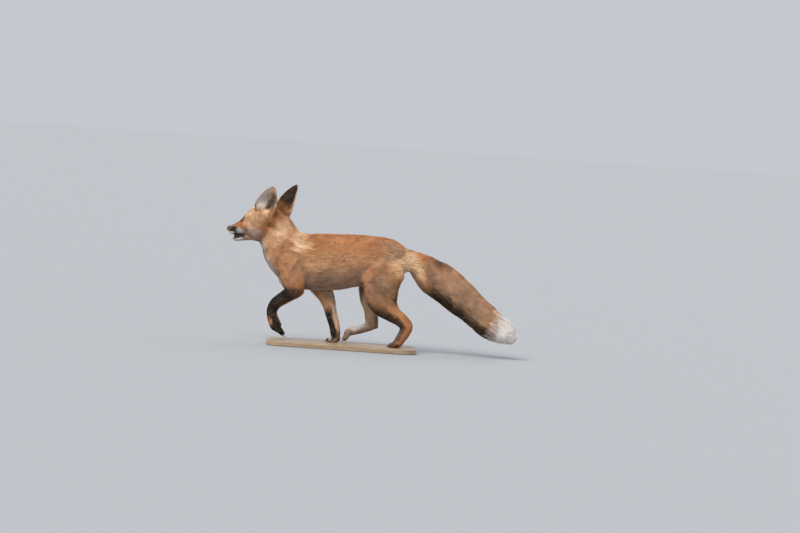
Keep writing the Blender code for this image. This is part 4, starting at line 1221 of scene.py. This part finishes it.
pads, claws = [], []
for *stance, sole in PAWS:
    place = paw_place(*stance)
    for ahead, across in TOES:
        pads.append(pad(place, (ahead - 1.5, across, sole + PAD_SINK), TOE_PAD))
        claws.append(claw(place, ahead - 9.0, across * 1.06, -1.6))
    pads.append(pad(place, (-3.0, 0.0, sole + PAD_SINK), SOLE_PAD, 0.5))
sole_hide = hide("black_sole_hide", 620.0, SOLE_BLACK, SOLE_WORN, 0.0004)
fitted(solid_from("sole_pads", *joined(pads)), sole_hide, "bare_skin")
fibres = {"scale": 1.0, "stretch": (160.0, 900.0, 500.0), "Detail": 3.0}
horn = two_toned("dark_horn", HORN_DARK, HORN_PALE, (0.28, 0.42), fibres, (0.3, 0.0002))
fitted(solid_from("claws", *joined(claws)), horn, "bare_skin")

# ---- The whiskers ------------------------------------------------------------------------------
# The real whiskers are the fox's own black bristles, set one by one in four rows on each lip pad,
# with two over each eye. They sweep back and a little down.
WHISKER_SIDES, WHISKER_STEPS = 5, 12
SWEEP = np.array((-0.42, 0.0, -0.042))  # how far a bristle bends back and down by its tip, for its length
WHISKER_THICK, BROW_THICK = 0.20, 0.16
BRISTLE_BLACK, BRISTLE_BROWN = (0.012, 0.010, 0.009, 1.0), (0.05, 0.04, 0.035, 1.0)


def bristle(root, lean, length, thick):
    """One bristle from its root, first along lean and then bending back along the head."""
    lean = unit(np.array(lean, float))
    across = unit(np.cross(lean, (0.3, 0.1, 1.0)))
    over = np.cross(lean, across)
    rows = []
    for step in range(WHISKER_STEPS):
        t = step / (WHISKER_STEPS - 1)
        middle = np.array(root, float) + lean * length * t + SWEEP * length * t * t
        wide = thick * (1.0 - t) ** 0.8 + 0.02
        rows.append([from_head(*(middle + (across * c + over * s) * wide)) for c, s in turned(WHISKER_SIDES)])
    return tubed(rows)


bristles = []
dice = np.random.default_rng(11)
for side in SIDES.values():
    for row, step in itertools.product(range(4), repeat=2):
        root = (60.0 - 6.2 * step - 1.2 * row, side * (6.1 + 1.1 * step), -29.5 - 3.3 * row)
        lean = (-0.75 + 0.1 * dice.uniform(-1, 1), side * 0.62, 0.10 - 0.16 * row + 0.06 * dice.uniform(-1, 1))
        length = (24.0 + 7.0 * step) * dice.uniform(0.85, 1.1)
        bristles.append(bristle(root, lean, length, WHISKER_THICK))
    for step in range(2):
        root, lean = (-2.0 - 5 * step, side * 17.0, 14.0), (-0.6, side * 0.35, 0.7)
        bristles.append(bristle(root, lean, 22.0, BROW_THICK))
black_hair = two_toned("black_bristle", BRISTLE_BLACK, BRISTLE_BROWN, (0.32, 0.45), {"scale": 180.0})
fitted(solid_from("whiskers", *joined(bristles)), black_hair, "dark_coat")

# ---- The coat ----------------------------------------------------------------------------------
# The real coat is the fox's own: soft dense underfur with longer guard hairs that gather in locks.
# It lies back along the body. Each tuft here is one pointed lock, rooted in the skin.
# Each piece: how many tufts, the finish slot, the chains whose skin it grows on, and from where to where in X.
EVERYWHERE = (-1.0, 1.0)
HIND_CHAINS = ("hindleg_left", "hindleg_right", "breech_left", "breech_right")
COAT_PIECES = {
    "coat_head": (33000, "coat", ("muzzle", "skull", "jaw", "cheek_left", "cheek_right"), EVERYWHERE),
    "coat_ears": (18000, "dark_coat", ("ear_left", "ear_right"), EVERYWHERE),
    "coat_neck": (30000, "coat", ("nape", "throat"), EVERYWHERE),
    "coat_shoulders": (27000, "coat", ("trunk", "sternum"), (-1.0, -0.10)),
    "coat_flanks": (30000, "coat", ("trunk", "sternum"), (-0.10, 1.0)),
    "coat_forelegs": (26000, "dark_coat", ("foreleg_left", "foreleg_right"), EVERYWHERE),
    "coat_hindlegs": (33000, "coat", HIND_CHAINS, EVERYWHERE),
    "coat_brush_root": (24000, "coat", ("tail",), (-1.0, 0.25)),
    "coat_brush_end": (26000, "pale_coat", ("tail",), (0.25, 1.0)),
}
BARE_ENOUGH = 0.35  # no tuft grows where the skin is barer than this
CROWDING = 1.3  # how much closer the tufts stand where they are narrow
LID_CLEAR = 1.25  # no tuft grows this near the opening between the lids
FLUFF_RISE, FLUFF_LENGTH = 0.0036, 300.0  # how far an ear's inner hair stands up, and its length for that
LEAST_ROOM, MOST_ROOM = 0.45, 2.0  # the coat's depth as measured is held to this share of its own depth
OVER_EDGE = 0.1  # skin that faces this far away from the root's lies past an edge
GUARD_FROM = 0.95  # the last few tufts of a hundred are longer guard hairs
ROOT_DEPTH = 0.0004
TUFT_RIDGE = 0.55  # how high a tuft's middle line stands, for its half width
SHADE_LEAN, SHADE_ROUND_ROOT, SHADE_ROUND = -0.25, 0.45, 0.5  # how far the light sees a tuft tilt and bend
# A tuft has three points at its root, three at its middle and one at its tip.
TUFT_FACES = np.array([(0, 1, 4), (0, 4, 3), (1, 2, 5), (1, 5, 4), (3, 4, 6), (4, 5, 6)])
TUFT_MAP = np.array([(-0.5, -0.5), (0, -0.5), (0.5, -0.5), (-0.5, 0), (0, 0), (0.5, 0), (0, 0.5)]) * 0.003
TUFT_ALONG = np.array((0.0, 0.0, 0.0, 0.5, 0.55, 0.5, 1.0))
TUFT_SIZE = len(TUFT_ALONG)
points, faces = triangles_of(skin.data)
skin_normals = normals_of(points, faces)
skin_tree = BVHTree.FromPolygons(points.tolist(), faces.tolist())
face_chain = skin_lie["chain"][faces[:, 0]]
face_middle = points[faces].mean(axis=1)
face_bare = bare[faces].mean(axis=1)
for side in eye_place:
    spot = eye_space(face_middle, side)
    inside_lids = (almond(spot) < LID_CLEAR) & (spot[:, 2] > 0) & (np.linalg.norm(spot, axis=1) < EYE_WORK)
    face_bare = np.where(inside_lids, 1.0, face_bare)

# Longer cream hairs stand in the front of each ear's cup, above the short fur there.
ear_fluff = np.zeros(len(points))
for name in EAR_OPENING:
    opening, rearward = ear_space(points, name)
    in_cup = (skin_lie["share"][:, CHAINS.index(name)] > 0.5) * eased(-0.5, 0.3, skin_normals @ opening)
    low_in_cup = eased(0.085, 0.045, skin_lie["along"])
    ear_fluff = np.maximum(ear_fluff, FLUFF_RISE * in_cup * low_in_cup * eased(0.006, -0.008, rearward))


def onto_skin(places, depth):
    """The skin nearest to each place: the spot, the way out of it, the room under the outline, and its face."""
    spots, outs, room = np.empty_like(places), np.empty_like(places), np.array(depth)
    under = np.empty(len(places), int)
    reach = depth * MOST_ROOM + 0.0015
    for index, place in enumerate(places.tolist()):
        spot, out, under[index], _ = skin_tree.find_nearest(place)
        spots[index], outs[index] = spot, out
        _, _, _, gap = outline.ray_cast(spot + out * 0.0001, out, reach[index])
        if gap is not None:
            room[index] = gap
    return spots, outs, np.maximum(room, depth * LEAST_ROOM), under


def held_in(places, allowed):
    """Places drawn back until they stand out of the coat's outline by no more than is allowed."""
    near, ways = np.empty_like(places), np.empty_like(places)
    for index, place in enumerate(places.tolist()):
        near[index], ways[index], _, _ = outline.find_nearest(place)
    off = places - near
    far = np.linalg.norm(off, axis=1)
    over = np.where((off * ways).sum(axis=1) > 0, np.maximum(far - allowed, 0.0), 0.0)
    return places - off * (over / np.maximum(far, 1e-9))[:, None]


def square_to(ways, out):
    """Ways turned to run square to the way out of the skin."""
    return unit(ways - out * (ways * out).sum(axis=1, keepdims=True))


def map_of(mine):
    """The flat map of some of the skin's triangles, corner by corner."""
    used, own = np.unique(mine, return_inverse=True)
    bed = solid_from("bed", points[used], own.reshape(-1, 3).tolist())
    unwrapped(bed)
    flat = np.empty(len(bed.data.loops) * 2, np.float32)
    bed.data.uv_layers["OFBake"].data.foreach_get("uv", flat)
    bpy.data.objects.remove(bed)
    return flat.reshape(-1, 3, 2)


def tufts_from(name, corners, corner_map):
    """A linked mesh object of tufts, from their points and the points' places in the map."""
    triangles = (np.arange(0, len(corners), TUFT_SIZE)[:, None, None] + TUFT_FACES[None]).reshape(-1, 3)
    mesh = bpy.data.meshes.new(name)
    mesh.vertices.add(len(corners))
    mesh.vertices.foreach_set("co", corners.astype(np.float32).ravel())
    mesh.loops.add(triangles.size)
    mesh.loops.foreach_set("vertex_index", triangles.astype(np.int32).ravel())
    mesh.polygons.add(len(triangles))
    mesh.polygons.foreach_set("loop_start", np.arange(len(triangles), dtype=np.int32) * 3)
    mesh.update(calc_edges=True)
    layer = mesh.uv_layers.new(name="OFBake")
    layer.data.foreach_set("uv", corner_map[triangles.ravel()].astype(np.float32).ravel())
    made = bpy.data.objects.new(name, mesh)
    bpy.context.scene.collection.objects.link(made)
    return made


def grown(name, count, slot, chains, reach):
    """One piece of the coat: count tufts, rooted evenly over its own part of the skin."""
    keep = np.isin(face_chain, [CHAINS.index(chain) for chain in chains]) & (face_bare < BARE_ENOUGH)
    keep &= (face_middle[:, 0] >= reach[0]) & (face_middle[:, 0] < reach[1])
    mine = faces[keep]
    flat = map_of(mine)
    a, b, c = (points[mine[:, k]] for k in range(3))
    area = np.linalg.norm(np.cross(b - a, c - a), axis=1)
    total = np.cumsum(area / skin_lie["width"][mine].mean(axis=1) ** CROWDING)
    marks_at = (np.arange(count) + dice.uniform(0.0, 1.0, count)) * total[-1] / count
    chosen = np.minimum(np.searchsorted(total, marks_at), len(mine) - 1)
    u, v = np.sqrt(dice.uniform(size=count)), dice.uniform(size=count)
    share = np.stack([1 - u, u * (1 - v), u * v], axis=1)

    def at_root(values):
        """Values of the skin's points, read at each root."""
        return np.einsum("ij,ij...->i...", share, values[mine[chosen]])

    root, out, lock, fluff = at_root(points), unit(at_root(skin_normals)), at_root(clump), at_root(ear_fluff)
    depth, length, wide, hug = (at_root(skin_lie[key]) for key in ("depth", "length", "width", "hug"))
    hug = hug[:, None]

    # Locks: neighbours lean together, and stray a little one by one.
    long_coat = eased(0.008, 0.026, length)
    flow = at_root(skin_lie["flow"])
    swirl = ripples(root, 0.022, (41, 42, 43)) * (0.16 + 0.20 * long_coat)[:, None]
    swirl += ripples(root, 0.009, (44, 45, 46)) * (0.16 + 0.22 * long_coat)[:, None]
    swirl += dice.normal(0.0, 0.09, (count, 3))
    flow = square_to(flow + swirl, out)
    chance = dice.uniform(size=count)
    length = length * dice.uniform(0.72, 1.15, count) * (1.0 + 0.10 * lock)
    rise = np.clip(dice.normal(1.04, 0.10, count) + (0.06 + 0.20 * long_coat) * lock, 0.55, 1.34)
    guard = chance > GUARD_FROM
    rise = np.where(guard, rise * 1.10 + 0.04, rise)
    length = np.where(guard, length * 1.12, length) * (1.0 + fluff * FLUFF_LENGTH)
    wide = wide * dice.uniform(0.75, 1.25, count) * 0.5

    def stepped(place, out, flow, share):
        """Half a tuft further along: hugging the skin, or straight on, as far as the hug says."""
        ahead = place + flow * (length * 0.5)[:, None]
        spot, spot_out, room, under = onto_skin(ahead, depth)
        past = (spot_out * out).sum(axis=1) < OVER_EDGE  # past an ear's edge a tuft runs straight on
        spot[past], spot_out[past], room[past] = ahead[past], out[past], depth[past]
        spot = spot * hug + ahead * (1.0 - hug)
        spot_out = unit(spot_out * hug + out * (1.0 - hug))
        return spot, spot_out, spot + spot_out * (room * rise * share + fluff * share)[:, None], faces[under, 0]

    middle_foot, middle_out, middle, middle_spot = stepped(root, out, flow, 0.80)
    flow_on = square_to(flow, middle_out)
    _, tip_out, tip, tip_spot = stepped(middle_foot, middle_out, flow_on, 1.0)
    allowed = 0.0007 + 0.10 * depth + 1.5 * fluff + np.where(guard, 0.0012, 0.0)
    middle, tip = held_in(middle, allowed * 0.6), held_in(tip, allowed)
    start = root - out * ROOT_DEPTH

    across = unit(np.cross(flow, out))
    half = across * wide[:, None]
    ridge_high = (wide * TUFT_RIDGE)[:, None]
    corners = np.stack([
        start - half * 0.85, start + out * ridge_high, start + half * 0.85,
        middle - half, middle + middle_out * ridge_high, middle + half, tip,
    ], axis=1).reshape(-1, 3)
    middle_shade = middle_out + flow * SHADE_LEAN
    normals = np.stack([
        out - across * SHADE_ROUND_ROOT, out, out + across * SHADE_ROUND_ROOT,
        middle_shade - across * SHADE_ROUND, middle_shade, middle_shade + across * SHADE_ROUND,
        tip_out + flow_on * SHADE_LEAN,
    ], axis=1).reshape(-1, 3)
    map_middle = np.einsum("ij,ijk->ik", share, flat[chosen])
    made = tufts_from(name, corners, (map_middle[:, None, :] + TUFT_MAP[None]).reshape(-1, 2))
    for key, values in (("warm_marks", warm), ("cold_marks", cold)):
        noted(made.data, key, np.repeat((values[middle_spot] + values[tip_spot]) / 2, TUFT_SIZE, axis=0))
    along, chance, lock = np.tile(TUFT_ALONG, count), np.repeat(chance, TUFT_SIZE), np.repeat(lock, TUFT_SIZE)
    noted(made.data, "strand", np.stack([along, chance, lock], axis=1))
    fitted(made, hair_locks, slot)
    made.data.normals_split_custom_set_from_vertices(unit(normals).tolist())


hair_locks = furred("hair_locks")
dice = np.random.default_rng(7)
for name, (count, *growth) in COAT_PIECES.items():
    grown(name, count, *growth)

# ---- Floor, light and camera -------------------------------------------------------------------
# A plain pale floor, a broad soft light from above and in front, a weaker one behind, and a long lens
# level with the fox's shoulder. The camera is turned with the body's own slope.
FLOOR_HALF = 30.0
FLOOR_COLOUR, FLOOR_SHADE = (0.397, 0.414, 0.4375, 1.0), (0.378, 0.394, 0.417, 1.0)
SKY_COLOUR, SKY_STRENGTH = (0.90, 0.94, 1.0, 1.0), 0.62
SENSOR = 36.0  # millimetres
VIEW_MIDDLE = Vector((0.0856, 0.0, 0.2708))
VIEW_DISTANCE = 12.0
VIEW_WIDTH = 2.52
LOOK_DOWN = math.radians(3.0)
floor_points = [(x * FLOOR_HALF, y * FLOOR_HALF, 0.0) for x, y in ((-1, -1), (1, -1), (1, 1), (-1, 1))]
floor = solid_from("floor", floor_points, [(0, 1, 2, 3)])
paint, tree = new_finish("pale_floor")
shade = ramped(tree, noisy(tree, over_piece(tree), 3.0), 0.3, 0.7, 0.0, 0.10)
finished(tree, {"Base Color": blended(tree, shade, FLOOR_COLOUR, FLOOR_SHADE), "Roughness": 0.9})
floor.data.materials.append(paint)

world = bpy.data.worlds.new("studio")
world.use_nodes = True
sky = world.node_tree.nodes["Background"].inputs
sky["Color"].default_value, sky["Strength"].default_value = SKY_COLOUR, SKY_STRENGTH
bpy.context.scene.world = world
bpy.context.scene.view_settings.view_transform = "Standard"


def soft_sun(name, place, strength, softness, colour):
    """A broad soft light that shines evenly from the direction of place."""
    light = bpy.data.lights.new(name, "SUN")
    light.energy = strength
    light.angle = math.radians(softness)
    light.color = colour
    made = bpy.data.objects.new(name, light)
    made.location = place
    made.rotation_euler = (-Vector(place)).to_track_quat("-Z", "Y").to_euler()
    bpy.context.scene.collection.objects.link(made)


soft_sun("key_softbox", (-1.7, -2.8, 3.9), 2.6, 38.0, (1.0, 0.965, 0.92))
soft_sun("fill_softbox", (2.4, 2.2, 2.6), 0.55, 60.0, (0.95, 0.97, 1.0))

right = Vector((math.cos(LEAN), 0.0, math.sin(LEAN)))
level_up = Vector((-math.sin(LEAN), 0.0, math.cos(LEAN)))
view_line = Vector((0, 1, 0)) * math.cos(LOOK_DOWN) - level_up * math.sin(LOOK_DOWN)
up = right.cross(view_line)
lens = bpy.data.cameras.new("long_lens")
lens.sensor_width = SENSOR
lens.lens = SENSOR * VIEW_DISTANCE / VIEW_WIDTH
lens.clip_end = 100.0
camera = bpy.data.objects.new("camera", lens)
turn = Matrix((right, up, -view_line)).transposed().to_4x4()
camera.matrix_world = Matrix.Translation(VIEW_MIDDLE - view_line * VIEW_DISTANCE) @ turn
bpy.context.scene.collection.objects.link(camera)
bpy.context.scene.camera = camera
